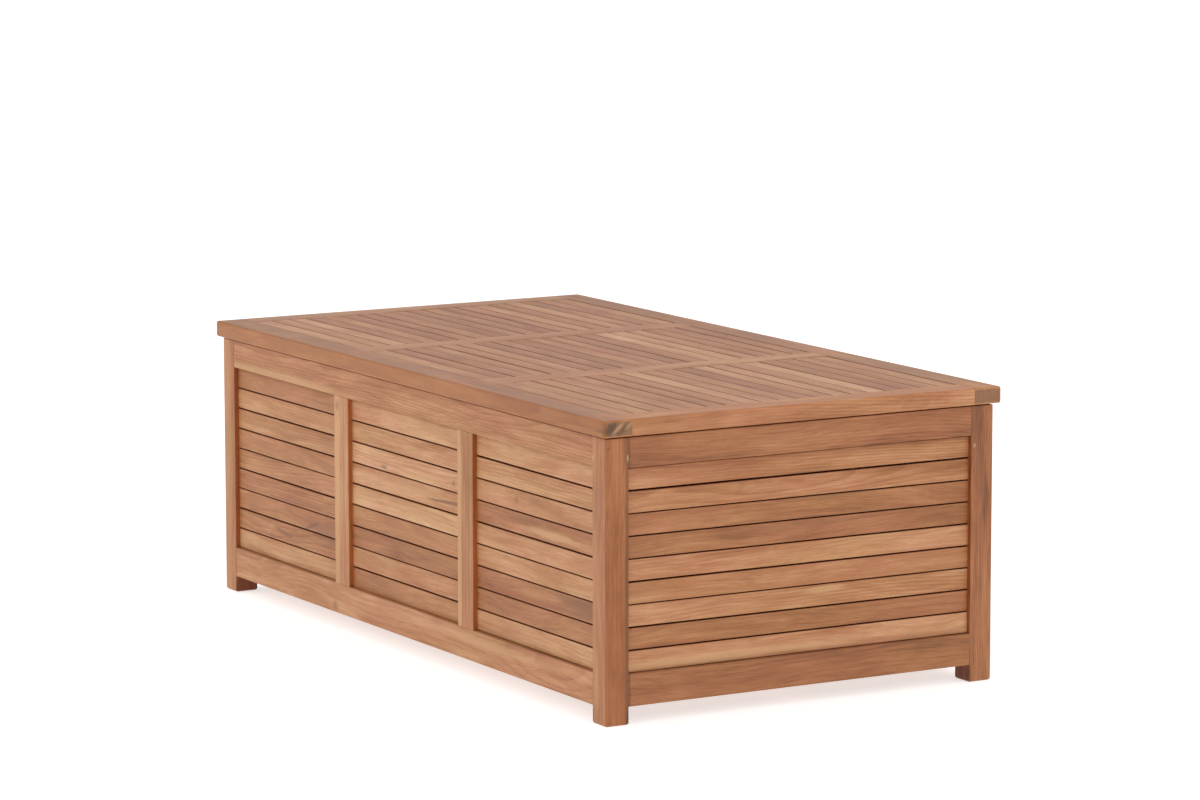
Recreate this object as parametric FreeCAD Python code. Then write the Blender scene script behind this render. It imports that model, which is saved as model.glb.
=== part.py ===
import FreeCAD, Part
import math
import os

# Deck storage box in teak: four posts joined by rails and mullions, slatted walls and floor,
# and a framed, slatted lid on three butt hinges with a slotted stay at each end.
#
# Millimetres. X runs along the box, Y from front to back, Z up. The origin is on the ground
# under the middle of the box. The lid is modelled shut.

# ---------------------------------------------------------------- overall sizes
LID_LENGTH = 1500.0
LID_WIDTH = 810.0
OVERALL_HEIGHT = 528.0
LID_OVERHANG = 10.5          # how far the lid stands out past the walls, all round
LID_OPEN_ANGLE = 95.0        # degrees from shut to where the stays stop the lid

# ---------------------------------------------------------------- wall frame
POST = 45.0                  # the posts are square
POST_FOOT_ROUND = 4.5
FOOT_CLEARANCE = 31.5        # from the ground to the underside of the bottom rails
BOTTOM_RAIL_HEIGHT = 56.5
TOP_RAIL_HEIGHT = 52.5
RAIL_THICK = 28.0
MULLION_WIDTH = 57.0
LONG_WALL_BAYS = 3
END_WALL_BAYS = 1

# ---------------------------------------------------------------- wall slats
SLAT_WIDTH = 37.0
SLAT_THICK = 12.0
SLAT_LEAST_GAP = 1.9
SLAT_RECESS = 9.0            # from the face of the frame back to the face of the slats
GROOVE_DEPTH = 8.0

# ---------------------------------------------------------------- joinery
TENON_THICK = 12.0
TENON_LENGTH = 20.0
TENON_INSET = 8.0            # from the face of a rail to its tenon
TENON_SHOULDER = 6.0
STUB_TENON_LENGTH = 12.0
PEG_DIAMETER = 8.0
PEG_STAGGER = 10.0           # up on one wall and down on the next, so that two pegs pass in a post
SIDE_FIT = 0.2               # play on each side of a tenon or a slat
END_FIT = 1.0                # room past the end of a tenon or a slat
PEG_FIT = 0.05

# ---------------------------------------------------------------- floor
CLEAT_THICK = 20.0
CLEAT_HEIGHT = 25.0
CLEAT_LIFT = 5.0             # from the underside of the bottom rails to the underside of the cleats
BEARER_WIDTH = 40.0
FLOOR_SLAT_WIDTH = 58.0
FLOOR_SLAT_THICK = 14.0
FLOOR_LEAST_GAP = 6.0
FLOOR_EDGE_GAP = 2.0
CLEAT_SCREW_EVERY = 6        # floor slats from one cleat screw to the next

# ---------------------------------------------------------------- lid
LID_THICK = 30.0
LID_RAIL_WIDTH = 56.5
LID_END_WIDTH = 57.0
LID_CROSS_WIDTH = 56.0
LID_EDGE_ROUND = 4.0
LID_SLAT_WIDTH = 34.0
LID_SLAT_THICK = 18.0
LID_SLAT_LEAST_GAP = 2.2
LID_SLAT_DROP = 0.5          # from the face of the lid frame down to the face of its slats
LID_TONGUE_THICK = 8.0
LID_TENON_LENGTH = 25.0

# ---------------------------------------------------------------- hinges
HINGE_SPREAD = 520.0         # from the middle hinge to each outer one
HINGE_LENGTH = 75.0
HINGE_KNUCKLES = 5
HINGE_LEAF_DEPTH = 28.0      # from the hinge axis to the far edge of a leaf
HINGE_LEAF_THICK = 1.2
HINGE_LEAF_SPLIT = 0.6       # between the two leaves when the lid is shut
HINGE_AXIS_BEHIND = 4.0      # from the back of the walls to the hinge axis
HINGE_PIN_DIAMETER = 3.0
HINGE_PIN_HEAD = 1.2
HINGE_END_PLAY = 0.5
HINGE_RUNNING_FIT = 0.05
HINGE_TURNING_ROOM = 0.5     # between a knuckle and what turns round it

# ---------------------------------------------------------------- screws and bumpers
SCREW_DIAMETER = 3.5
SCREW_HEAD_DIAMETER = 7.0
SCREW_HEAD_DEPTH = 1.9
SCREW_TIP = 4.0
HINGE_SCREW_LENGTH = 22.0
STAY_SCREW_LENGTH = 16.0
FLOOR_SCREW_LENGTH = 35.0
SCREW_FIT = 0.05
BUMPER_DIAMETER = 14.0
BUMPER_SQUEEZE = 0.3         # left between the bumpers and the lid

# ---------------------------------------------------------------- lid stays
STAY_REACH = 170.0           # from the hinge axis to both pivots of a stay
STAY_SHUT_ANGLE = 10.0       # between the two pivots, seen from the hinge axis, when shut
STAY_PIVOT_DROP = 12.0       # from the underside of the lid to the pivot on the lid
STAY_ARM_WIDTH = 16.0
STAY_ARM_THICK = 2.5
STAY_PLATE_THICK = 2.0
STAY_PLATE_LENGTH = 44.0
STAY_PLATE_HEIGHT = 24.0
STAY_SCREW_SPACING = 28.0
STAY_PIN_DIAMETER = 6.0
STAY_PIN_HEAD_DIAMETER = 12.0
STAY_PIN_HEAD = 2.0
STAY_SLOT_PLAY = 0.35        # all round the fixed pin in the slot
STAY_SIDE_PLAY = 0.5         # between the arm and what is beside it
STAY_WALL_ROOM = 1.0         # between the lid bracket and the end rail
STAY_BRACKET_LENGTH = 40.0
STAY_BRACKET_FOOT = 15.0

# ---------------------------------------------------------------- worked out from the above
LID_GAP = 2 * HINGE_LEAF_THICK + HINGE_LEAF_SPLIT
BODY_LENGTH = LID_LENGTH - 2 * LID_OVERHANG
BODY_WIDTH = LID_WIDTH - 2 * LID_OVERHANG
LID_UNDERSIDE = OVERALL_HEIGHT - LID_THICK
BODY_TOP = LID_UNDERSIDE - LID_GAP
TOP_RAIL_BOTTOM = BODY_TOP - TOP_RAIL_HEIGHT
BOTTOM_RAIL_TOP = FOOT_CLEARANCE + BOTTOM_RAIL_HEIGHT
SLAT_TONGUE = GROOVE_DEPTH - END_FIT
CLEAT_BOTTOM = FOOT_CLEARANCE + CLEAT_LIFT
FLOOR_UNDERSIDE = CLEAT_BOTTOM + CLEAT_HEIGHT
HINGE_Y = BODY_WIDTH / 2 + HINGE_AXIS_BEHIND
HINGE_Z = BODY_TOP + LID_GAP / 2
KNUCKLE_RADIUS = HINGE_PIN_DIAMETER / 2 + HINGE_LEAF_THICK
HINGES = {"left": -HINGE_SPREAD, "middle": 0.0, "right": HINGE_SPREAD}
SIDES = {"left": -1, "right": 1}

# Each wall is drawn as if it were the front one and then turned to its own side of the box:
# the turn about Z in degrees, the wall's length, and how far its outer face is from the middle.
WALLS = {
    "front": (0, BODY_LENGTH, BODY_WIDTH / 2, LONG_WALL_BAYS),
    "back": (180, BODY_LENGTH, BODY_WIDTH / 2, LONG_WALL_BAYS),
    "right": (90, BODY_WIDTH, BODY_LENGTH / 2, END_WALL_BAYS),
    "left": (-90, BODY_WIDTH, BODY_LENGTH / 2, END_WALL_BAYS),
}
X_AXIS = FreeCAD.Vector(1, 0, 0)
Y_AXIS = FreeCAD.Vector(0, 1, 0)
Z_AXIS = FreeCAD.Vector(0, 0, 1)
ORIGIN = FreeCAD.Vector(0, 0, 0)


# ---------------------------------------------------------------- small helpers
def block(x0, x1, y0, y1, z0, z1):
    """A square-edged block between two values on each axis."""
    return Part.makeBox(x1 - x0, y1 - y0, z1 - z0, FreeCAD.Vector(x0, y0, z0))


def rod(diameter, length, start, direction):
    return Part.makeCylinder(diameter / 2, length, start, direction)


def grown(low, high, room):
    """The same stretch with room added at both ends."""
    return low - room, high + room


def cut_all(solid, cutters):
    for cutter in cutters:
        solid = solid.cut(cutter)
    return solid


def fuse_all(solids):
    whole = solids[0]
    for solid in solids[1:]:
        whole = whole.fuse(solid)
    return whole.removeSplitter()


def mirrored(shape, side):
    """The shape as drawn for the right-hand end, or its mirror image for the left."""
    return shape if side > 0 else shape.mirror(ORIGIN, X_AXIS)


def on_wall(shape, wall):
    """Turns a piece drawn for the front, with its depth measured from y = 0, to its wall."""
    turn, _, out, _ = WALLS[wall]
    placed = shape.copy()
    placed.translate(FreeCAD.Vector(0, -out, 0))
    placed.rotate(ORIGIN, Z_AXIS, turn)
    return placed


def edges_on(shape, test):
    """The straight edges of a shape whose two ends both pass the test."""
    return [e for e in shape.Edges if all(test(v.Point) for v in e.Vertexes)]


def edges_off(shape, test):
    """The straight edges of a shape with an end that fails the test."""
    return [e for e in shape.Edges if not all(test(v.Point) for v in e.Vertexes)]


def near(value, other):
    return abs(value - other) < 0.01


def even_rows(low, high, width, least_gap):
    """The lower edges of as many equal strips as fit between low and high, evenly spaced."""
    count = int((high - low - least_gap) // (width + least_gap))
    gap = (high - low - count * width) / (count + 1)
    return [low + gap + i * (width + gap) for i in range(count)]


def save(node, shape):
    shape.exportStep(os.path.join("parts", node + ".step"))


# ---------------------------------------------------------------- screws
def screw(length, head, inward):
    """A countersunk wood screw, its flat head at a point and its tip inward."""
    head_cone = Part.makeCone(
        SCREW_HEAD_DIAMETER / 2, SCREW_DIAMETER / 2, SCREW_HEAD_DEPTH, head, inward
    )
    shank = rod(SCREW_DIAMETER, length - SCREW_TIP, head, inward)
    tip_start = head + inward * (length - SCREW_TIP)
    tip = Part.makeCone(SCREW_DIAMETER / 2, 0, SCREW_TIP, tip_start, inward)
    return fuse_all([head_cone, shank, tip])


def screw_hole(length, head, inward):
    """The countersunk hole of a screw, with a little room all round it."""
    countersink = Part.makeCone(
        SCREW_HEAD_DIAMETER / 2 + SCREW_FIT,
        SCREW_DIAMETER / 2 + SCREW_FIT,
        SCREW_HEAD_DEPTH,
        head,
        inward,
    )
    return countersink.fuse(rod(SCREW_DIAMETER + 2 * SCREW_FIT, length + END_FIT, head, inward))


# ---------------------------------------------------------------- walls
def bays(wall):
    """The clear stretches between posts and mullions, along the wall from its middle."""
    _, length, _, count = WALLS[wall]
    inside = length / 2 - POST
    width = (2 * inside - (count - 1) * MULLION_WIDTH) / count
    starts = [-inside + i * (width + MULLION_WIDTH) for i in range(count)]
    return [(start, start + width) for start in starts]


def mullion_places(wall):
    """Where each mullion starts and ends along the wall."""
    clear = bays(wall)
    return [(clear[i][1], clear[i + 1][0]) for i in range(len(clear) - 1)]


def rail_heights(level):
    if level == "top":
        return TOP_RAIL_BOTTOM, BODY_TOP
    return FOOT_CLEARANCE, BOTTOM_RAIL_TOP


def end_tenons(wall, level, room, end_room):
    """Both tenons of a rail, or their mortises when they are given room."""
    _, length, _, _ = WALLS[wall]
    low, high = rail_heights(level)
    z0, z1 = grown(low + TENON_SHOULDER, high - TENON_SHOULDER, room)
    y0, y1 = grown(TENON_INSET, TENON_INSET + TENON_THICK, room)
    inside = length / 2 - POST
    reach = inside + TENON_LENGTH + end_room
    return [block(inside, reach, y0, y1, z0, z1), block(-reach, -inside, y0, y1, z0, z1)]


def stub_tenons(place, room, end_room):
    """The tenons at the foot and head of a mullion, or their mortises."""
    x0, x1 = grown(place[0] + TENON_SHOULDER, place[1] - TENON_SHOULDER, room)
    y0, y1 = grown(TENON_INSET, TENON_INSET + TENON_THICK, room)
    reach = STUB_TENON_LENGTH + end_room
    foot = block(x0, x1, y0, y1, BOTTOM_RAIL_TOP - reach, BOTTOM_RAIL_TOP)
    head = block(x0, x1, y0, y1, TOP_RAIL_BOTTOM, TOP_RAIL_BOTTOM + reach)
    return [foot, head]


def slat_grooves(wall):
    """The upright grooves that the slats of a wall slide into, one at each end of each bay."""
    y0, y1 = grown(SLAT_RECESS, SLAT_RECESS + SLAT_THICK, SIDE_FIT)
    grooves = []
    for start, end in bays(wall):
        grooves.append(block(start - GROOVE_DEPTH, start, y0, y1, BOTTOM_RAIL_TOP, TOP_RAIL_BOTTOM))
        grooves.append(block(end, end + GROOVE_DEPTH, y0, y1, BOTTOM_RAIL_TOP, TOP_RAIL_BOTTOM))
    return grooves


def wall_pegs(wall, room):
    """Pegs driven from inside a post through each rail tenon, or their holes."""
    _, length, _, count = WALLS[wall]
    stagger = PEG_STAGGER if count > 1 else -PEG_STAGGER
    x = length / 2 - POST + TENON_LENGTH / 2
    depth = POST - TENON_INSET + room
    pegs = []
    for level in ("top", "bottom"):
        z = sum(rail_heights(level)) / 2 + stagger
        for side in (-x, x):
            start = FreeCAD.Vector(side, POST, z)
            pegs.append(rod(PEG_DIAMETER + 2 * room, depth, start, -Y_AXIS))
    return pegs


def post(side_x, side_y):
    """A corner post, mortised and grooved for the two walls that meet in it."""
    x1 = BODY_LENGTH / 2
    y1 = BODY_WIDTH / 2
    blank = block(x1 - POST, x1, y1 - POST, y1, 0, BODY_TOP)
    blank = blank.makeFillet(POST_FOOT_ROUND, edges_on(blank, lambda p: near(p.z, 0)))
    if side_x < 0:
        blank = blank.mirror(ORIGIN, X_AXIS)
    if side_y < 0:
        blank = blank.mirror(ORIGIN, Y_AXIS)
    cutters = []
    for wall in ("right" if side_x > 0 else "left", "back" if side_y > 0 else "front"):
        for level in ("top", "bottom"):
            cutters += [on_wall(c, wall) for c in end_tenons(wall, level, SIDE_FIT, END_FIT)]
        cutters += [on_wall(c, wall) for c in slat_grooves(wall)]
        cutters += [on_wall(c, wall) for c in wall_pegs(wall, PEG_FIT)]
    return cut_all(blank, cutters)


def rail(wall, level):
    """A rail between two posts, tenoned at both ends and mortised for the mullions."""
    inside = WALLS[wall][1] / 2 - POST
    low, high = rail_heights(level)
    board = block(-inside, inside, 0, RAIL_THICK, low, high)
    board = fuse_all([board] + end_tenons(wall, level, 0, 0))
    cutters = wall_pegs(wall, PEG_FIT)
    for place in mullion_places(wall):
        cutters += stub_tenons(place, SIDE_FIT, END_FIT)
    return on_wall(cut_all(board, cutters), wall)


def mullion(wall, place):
    """An upright between the two rails of a long wall, grooved on both sides."""
    board = block(place[0], place[1], 0, RAIL_THICK, BOTTOM_RAIL_TOP, TOP_RAIL_BOTTOM)
    board = fuse_all([board] + stub_tenons(place, 0, 0))
    return on_wall(cut_all(board, slat_grooves(wall)), wall)


def slats(wall, bay):
    """The slats of one bay, each with its ends in the grooves."""
    start, end = bay
    y0, y1 = SLAT_RECESS, SLAT_RECESS + SLAT_THICK
    boards = []
    for z in even_rows(BOTTOM_RAIL_TOP, TOP_RAIL_BOTTOM, SLAT_WIDTH, SLAT_LEAST_GAP):
        board = block(start - SLAT_TONGUE, end + SLAT_TONGUE, y0, y1, z, z + SLAT_WIDTH)
        boards.append(on_wall(board, wall))
    return Part.makeCompound(boards)


def rail_fittings(wall, level):
    """What is cut in a rail for the hinges, the stays and the floor."""
    if wall in SIDES:
        if level == "top":
            return stay_wall_screws(SIDES[wall], True)
        return [bearer_housing(SIDES[wall])]
    if level == "bottom":
        return cleat_screws(wall, True)
    return hinge_screws("body", True) if wall == "back" else []


def save_walls():
    for name_x, side_x in SIDES.items():
        for name_y, side_y in (("front", -1), ("back", 1)):
            save(f"post_{name_y}_{name_x}", post(side_x, side_y))
    pegs = []
    for wall in WALLS:
        # Seen from inside, the right-hand end of the back wall is at the left of the box.
        order = ("right", "middle", "left") if wall == "back" else ("left", "middle", "right")
        for level in ("top", "bottom"):
            save(f"{level}_rail_{wall}", cut_all(rail(wall, level), rail_fittings(wall, level)))
        for i, place in enumerate(mullion_places(wall)):
            name = order[0] if i == 0 else order[-1]
            save(f"mullion_{wall}_{name}", mullion(wall, place))
        clear = bays(wall)
        for i, bay in enumerate(clear):
            node = f"slats_{wall}_{order[i]}" if len(clear) > 1 else f"slats_{wall}_end"
            save(node, slats(wall, bay))
        pegs += [on_wall(peg, wall) for peg in wall_pegs(wall, 0)]
    save("frame_pegs", Part.makeCompound(pegs))


# ---------------------------------------------------------------- floor
def bearer_housing(side):
    """The pocket in a bottom end rail that holds one end of the floor bearer."""
    face = BODY_LENGTH / 2 - RAIL_THICK
    y0, y1 = grown(-BEARER_WIDTH / 2, BEARER_WIDTH / 2, SIDE_FIT)
    reach = face + STUB_TENON_LENGTH
    z0, z1 = grown(CLEAT_BOTTOM, FLOOR_UNDERSIDE, SIDE_FIT)
    return mirrored(block(face, reach, y0, y1, z0, z1), side)


def floor_bearer():
    """The bar under the middle of the floor, housed in both bottom end rails."""
    x = BODY_LENGTH / 2 - RAIL_THICK + STUB_TENON_LENGTH - END_FIT
    y = BEARER_WIDTH / 2
    return block(-x, x, -y, y, CLEAT_BOTTOM, FLOOR_UNDERSIDE)


def floor_cleat():
    """The strip along the back bottom rail that carries the ends of the floor slats."""
    x = BODY_LENGTH / 2 - POST - FLOOR_EDGE_GAP
    y1 = BODY_WIDTH / 2 - RAIL_THICK
    return block(-x, x, y1 - CLEAT_THICK, y1, CLEAT_BOTTOM, FLOOR_UNDERSIDE)


def floor_rows():
    inside = BODY_LENGTH / 2 - POST
    return even_rows(-inside, inside, FLOOR_SLAT_WIDTH, FLOOR_LEAST_GAP)


def floor_screws(holes):
    """A screw at each end of each floor slat, down into the cleats."""
    make = screw_hole if holes else screw
    y = BODY_WIDTH / 2 - RAIL_THICK - CLEAT_THICK / 2
    z = FLOOR_UNDERSIDE + FLOOR_SLAT_THICK
    found = []
    for x in floor_rows():
        for side in (-y, y):
            head = FreeCAD.Vector(x + FLOOR_SLAT_WIDTH / 2, side, z)
            found.append(make(FLOOR_SCREW_LENGTH, head, -Z_AXIS))
    return found


def cleat_screws(wall, holes):
    """Screws through a cleat into its bottom rail, each between two floor slats."""
    make = screw_hole if holes else screw
    y = RAIL_THICK + CLEAT_THICK
    z = CLEAT_BOTTOM + CLEAT_HEIGHT / 2
    rows = floor_rows()
    half_gap = (rows[1] - rows[0] - FLOOR_SLAT_WIDTH) / 2
    heads = [FreeCAD.Vector(x - half_gap, y, z) for x in rows[1::CLEAT_SCREW_EVERY]]
    return [on_wall(make(FLOOR_SCREW_LENGTH, head, -Y_AXIS), wall) for head in heads]


def save_floor():
    holes = floor_screws(True)
    cleat = floor_cleat()
    back_holes = holes[1::2] + cleat_screws("back", True)
    front_holes = holes[0::2] + cleat_screws("front", True)
    save("floor_cleat_back", cut_all(cleat, back_holes))
    save("floor_cleat_front", cut_all(cleat.mirror(ORIGIN, Y_AXIS), front_holes))
    save("floor_bearer", floor_bearer())
    y = BODY_WIDTH / 2 - RAIL_THICK - FLOOR_EDGE_GAP
    z0, z1 = FLOOR_UNDERSIDE, FLOOR_UNDERSIDE + FLOOR_SLAT_THICK
    boards = []
    for i, x in enumerate(floor_rows()):
        board = block(x, x + FLOOR_SLAT_WIDTH, -y, y, z0, z1)
        boards.append(cut_all(board, holes[2 * i : 2 * i + 2]))
    save("floor_slats", Part.makeCompound(boards))
    fixings = floor_screws(False) + cleat_screws("front", False) + cleat_screws("back", False)
    save("floor_screws", Part.makeCompound(fixings))


# ---------------------------------------------------------------- lid frame and slats
def cross_rail_middle():
    """The lid's cross rails line up with the mullions of the long walls."""
    place = mullion_places("front")[-1]
    return (place[0] + place[1]) / 2


def lid_cross_members():
    """Where each end rail and cross rail starts and ends along the lid."""
    middle = cross_rail_middle()
    end = LID_LENGTH / 2
    half = LID_CROSS_WIDTH / 2
    return {
        "end_rail_left": (-end, -end + LID_END_WIDTH),
        "cross_rail_left": (-middle - half, -middle + half),
        "cross_rail_right": (middle - half, middle + half),
        "end_rail_right": (end - LID_END_WIDTH, end),
    }


def lid_tenons(place, room, end_room):
    """The tenons at the back and front of an end rail or cross rail, or their mortises."""
    x0, x1 = grown(place[0] + TENON_SHOULDER, place[1] - TENON_SHOULDER, room)
    z = LID_UNDERSIDE + LID_THICK / 2
    z0, z1 = grown(z - TENON_THICK / 2, z + TENON_THICK / 2, room)
    inside = LID_WIDTH / 2 - LID_RAIL_WIDTH
    reach = inside + LID_TENON_LENGTH + end_room
    return [block(x0, x1, inside, reach, z0, z1), block(x0, x1, -reach, -inside, z0, z1)]


def lid_pegs(room):
    """Pegs driven up from under the lid through each tenon, or their holes."""
    y = LID_WIDTH / 2 - LID_RAIL_WIDTH + LID_TENON_LENGTH / 2
    length = (LID_THICK + TENON_THICK) / 2 + room
    pegs = []
    for place in lid_cross_members().values():
        x = (place[0] + place[1]) / 2
        for side in (-y, y):
            start = FreeCAD.Vector(x, side, LID_UNDERSIDE)
            pegs.append(rod(PEG_DIAMETER + 2 * room, length, start, Z_AXIS))
    return pegs


def lid_grooves():
    """The grooves in the end and cross rails that hold the tongues of the lid slats."""
    inside = LID_WIDTH / 2 - LID_RAIL_WIDTH
    z = OVERALL_HEIGHT - LID_SLAT_DROP - LID_SLAT_THICK / 2
    z0, z1 = grown(z - LID_TONGUE_THICK / 2, z + LID_TONGUE_THICK / 2, SIDE_FIT)
    grooves = []
    for start, end in lid_bays():
        grooves.append(block(start - GROOVE_DEPTH, start, -inside, inside, z0, z1))
        grooves.append(block(end, end + GROOVE_DEPTH, -inside, inside, z0, z1))
    return grooves


def lid_bays():
    """The clear stretches between the end rails and cross rails, along the lid."""
    places = list(lid_cross_members().values())
    return [(places[i][1], places[i + 1][0]) for i in range(len(places) - 1)]


def knuckle_relief():
    """The hollows under the lid's back rail that the hinge knuckles turn in."""
    radius = KNUCKLE_RADIUS + HINGE_TURNING_ROOM
    half = HINGE_LENGTH / 2 + HINGE_PIN_HEAD + HINGE_TURNING_ROOM
    starts = [FreeCAD.Vector(x - half, HINGE_Y, HINGE_Z) for x in HINGES.values()]
    return [Part.makeCylinder(radius, 2 * half, start, X_AXIS) for start in starts]


def lid_long_rail(side_y):
    """The front or back rail of the lid, running its whole length, with rounded outer edges."""
    x = LID_LENGTH / 2
    y1 = LID_WIDTH / 2
    board = block(-x, x, y1 - LID_RAIL_WIDTH, y1, LID_UNDERSIDE, OVERALL_HEIGHT)
    inner = y1 - LID_RAIL_WIDTH
    board = board.makeFillet(LID_EDGE_ROUND, edges_off(board, lambda p: near(p.y, inner)))
    if side_y < 0:
        board = board.mirror(ORIGIN, Y_AXIS)
    cutters = lid_pegs(PEG_FIT)
    for place in lid_cross_members().values():
        cutters += lid_tenons(place, SIDE_FIT, END_FIT)
    if side_y > 0:
        cutters += knuckle_relief() + hinge_screws("lid", True)
    return cut_all(board, cutters)


def lid_cross_member(name):
    """An end rail or cross rail of the lid, tenoned into both long rails."""
    place = lid_cross_members()[name]
    inside = LID_WIDTH / 2 - LID_RAIL_WIDTH
    board = block(place[0], place[1], -inside, inside, LID_UNDERSIDE, OVERALL_HEIGHT)
    if name.startswith("end"):
        face = LID_LENGTH / 2
        outer = edges_on(board, lambda p: near(abs(p.x), face))
        level = [e for e in outer if near(e.Vertexes[0].Z, e.Vertexes[1].Z)]
        board = board.makeFillet(LID_EDGE_ROUND, level)
    board = fuse_all([board] + lid_tenons(place, 0, 0))
    cutters = lid_pegs(PEG_FIT) + lid_grooves()
    if name.startswith("end"):
        cutters += stay_lid_screws(1 if name.endswith("right") else -1, True)
    return cut_all(board, cutters)


def lid_slats(bay):
    """The slats of one bay of the lid, level with its frame, with a tongue at each end."""
    start, end = bay
    top = OVERALL_HEIGHT - LID_SLAT_DROP
    middle = top - LID_SLAT_THICK / 2
    inside = LID_WIDTH / 2 - LID_RAIL_WIDTH
    boards = []
    for y in even_rows(-inside, inside, LID_SLAT_WIDTH, LID_SLAT_LEAST_GAP):
        y1 = y + LID_SLAT_WIDTH
        board = block(start + SIDE_FIT, end - SIDE_FIT, y, y1, top - LID_SLAT_THICK, top)
        z0, z1 = middle - LID_TONGUE_THICK / 2, middle + LID_TONGUE_THICK / 2
        tongue = block(start - SLAT_TONGUE, end + SLAT_TONGUE, y, y1, z0, z1)
        boards.append(board.fuse(tongue))
    return Part.makeCompound(boards)


def save_lid():
    save("lid_rail_front", lid_long_rail(-1))
    save("lid_rail_back", lid_long_rail(1))
    for name in lid_cross_members():
        save("lid_" + name, lid_cross_member(name))
    for name, bay in zip(("left", "middle", "right"), lid_bays()):
        save("lid_slats_" + name, lid_slats(bay))
    save("lid_pegs", Part.makeCompound(lid_pegs(0)))


# ---------------------------------------------------------------- hinges
def hinge_leaf(x, body):
    """One leaf of a butt hinge with its own knuckles, on the walls or on the lid."""
    z0 = BODY_TOP if body == "body" else LID_UNDERSIDE - HINGE_LEAF_THICK
    z1 = z0 + HINGE_LEAF_THICK
    edge = HINGE_Y - KNUCKLE_RADIUS - HINGE_TURNING_ROOM
    far = HINGE_Y - HINGE_LEAF_DEPTH
    half = HINGE_LENGTH / 2
    pieces = [block(x - half, x + half, far, edge, z0, z1)]
    pitch = HINGE_LENGTH / HINGE_KNUCKLES
    first = 0 if body == "body" else 1
    for i in range(first, HINGE_KNUCKLES, 2):
        x0 = x - half + i * pitch + (HINGE_END_PLAY / 2 if i > 0 else 0)
        x1 = x - half + (i + 1) * pitch - (HINGE_END_PLAY / 2 if i < HINGE_KNUCKLES - 1 else 0)
        start = FreeCAD.Vector(x0, HINGE_Y, HINGE_Z)
        pieces.append(rod(2 * KNUCKLE_RADIUS, x1 - x0, start, X_AXIS))
        pieces.append(block(x0, x1, edge, HINGE_Y, z0, z1))
    leaf = fuse_all(pieces)
    fit = 0 if body == "body" else HINGE_RUNNING_FIT
    start = FreeCAD.Vector(x - half, HINGE_Y, HINGE_Z)
    bore = rod(HINGE_PIN_DIAMETER + 2 * fit, HINGE_LENGTH, start, X_AXIS)
    return cut_all(leaf, [bore] + one_hinge_screws(x, body, True))


def one_hinge_screws(x, body, holes):
    """Three screws in a zigzag through one leaf."""
    make = screw_hole if holes else screw
    inward = -Z_AXIS if body == "body" else Z_AXIS
    z = BODY_TOP + HINGE_LEAF_THICK if body == "body" else LID_UNDERSIDE - HINGE_LEAF_THICK
    spacing = HINGE_LENGTH / 3
    leaf_middle = HINGE_Y - (HINGE_LEAF_DEPTH + KNUCKLE_RADIUS) / 2
    zigzag = HINGE_LEAF_DEPTH / 6
    found = []
    for i in (-1, 0, 1):
        y = leaf_middle + (zigzag if i == 0 else -zigzag)
        found.append(make(HINGE_SCREW_LENGTH, FreeCAD.Vector(x + i * spacing, y, z), inward))
    return found


def hinge_screws(body, holes):
    found = []
    for x in HINGES.values():
        found += one_hinge_screws(x, body, holes)
    return found


def hinge_pin(x):
    """A hinge pin with a small button head at each end."""
    half = HINGE_LENGTH / 2
    start = FreeCAD.Vector(x - half, HINGE_Y, HINGE_Z)
    pieces = [rod(HINGE_PIN_DIAMETER, HINGE_LENGTH, start, X_AXIS)]
    head = KNUCKLE_RADIUS * 2 - HINGE_LEAF_THICK
    pieces.append(rod(head, HINGE_PIN_HEAD, start, -X_AXIS))
    pieces.append(rod(head, HINGE_PIN_HEAD, start + X_AXIS * HINGE_LENGTH, X_AXIS))
    return fuse_all(pieces)


def save_hinges():
    for name, x in HINGES.items():
        save(f"hinge_leaf_body_{name}", hinge_leaf(x, "body"))
        save(f"hinge_leaf_lid_{name}", hinge_leaf(x, "lid"))
    save("hinge_pins", Part.makeCompound([hinge_pin(x) for x in HINGES.values()]))


# ---------------------------------------------------------------- lid stays
# Both pivots of a stay are equally far from the hinge axis, so its arm always turns through
# half the angle of the lid, while its slot slides over the pin that is fixed to the wall.
# Its planes, measured from the inner face of an end rail towards the middle of the box:
PLATE_FACE = STAY_PLATE_THICK
BRACKET_OUTER = STAY_WALL_ROOM
BRACKET_INNER = BRACKET_OUTER + STAY_PLATE_THICK
ARM_OUTER = BRACKET_INNER + STAY_SIDE_PLAY
ARM_INNER = ARM_OUTER + STAY_ARM_THICK
HEAD_OUTER = ARM_INNER + STAY_SIDE_PLAY
HEAD_INNER = HEAD_OUTER + STAY_PIN_HEAD
END_FACE = BODY_LENGTH / 2 - RAIL_THICK


def stay_angle():
    """How far the lid pivot lies below the level of the hinge axis, in radians."""
    drop = STAY_PIVOT_DROP - (LID_UNDERSIDE - HINGE_Z)
    return math.asin(drop / STAY_REACH)


def stay_point(angle):
    """Y and Z of a point at the stay's reach from the hinge axis, so far below level."""
    return HINGE_Y - STAY_REACH * math.cos(angle), HINGE_Z - STAY_REACH * math.sin(angle)


def lid_pivot():
    return stay_point(stay_angle())


def wall_pivot():
    return stay_point(stay_angle() + math.radians(STAY_SHUT_ANGLE))


def chord(degrees):
    """The distance between the two pivots when they are so many degrees apart."""
    return 2 * STAY_REACH * math.sin(math.radians(degrees) / 2)


def stay_depth(outer, inner, y, z, diameter):
    """A round piece between two of the stay's planes."""
    return rod(diameter, inner - outer, FreeCAD.Vector(END_FACE - inner, y, z), X_AXIS)


def long_round(length, width, thick):
    """A flat bar along -Z from the origin with round ends centred at its two pivots."""
    bar = block(0, thick, -width / 2, width / 2, -length, 0)
    top = rod(width, thick, ORIGIN, X_AXIS)
    bottom = rod(width, thick, FreeCAD.Vector(0, 0, -length), X_AXIS)
    return fuse_all([bar, top, bottom])


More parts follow.
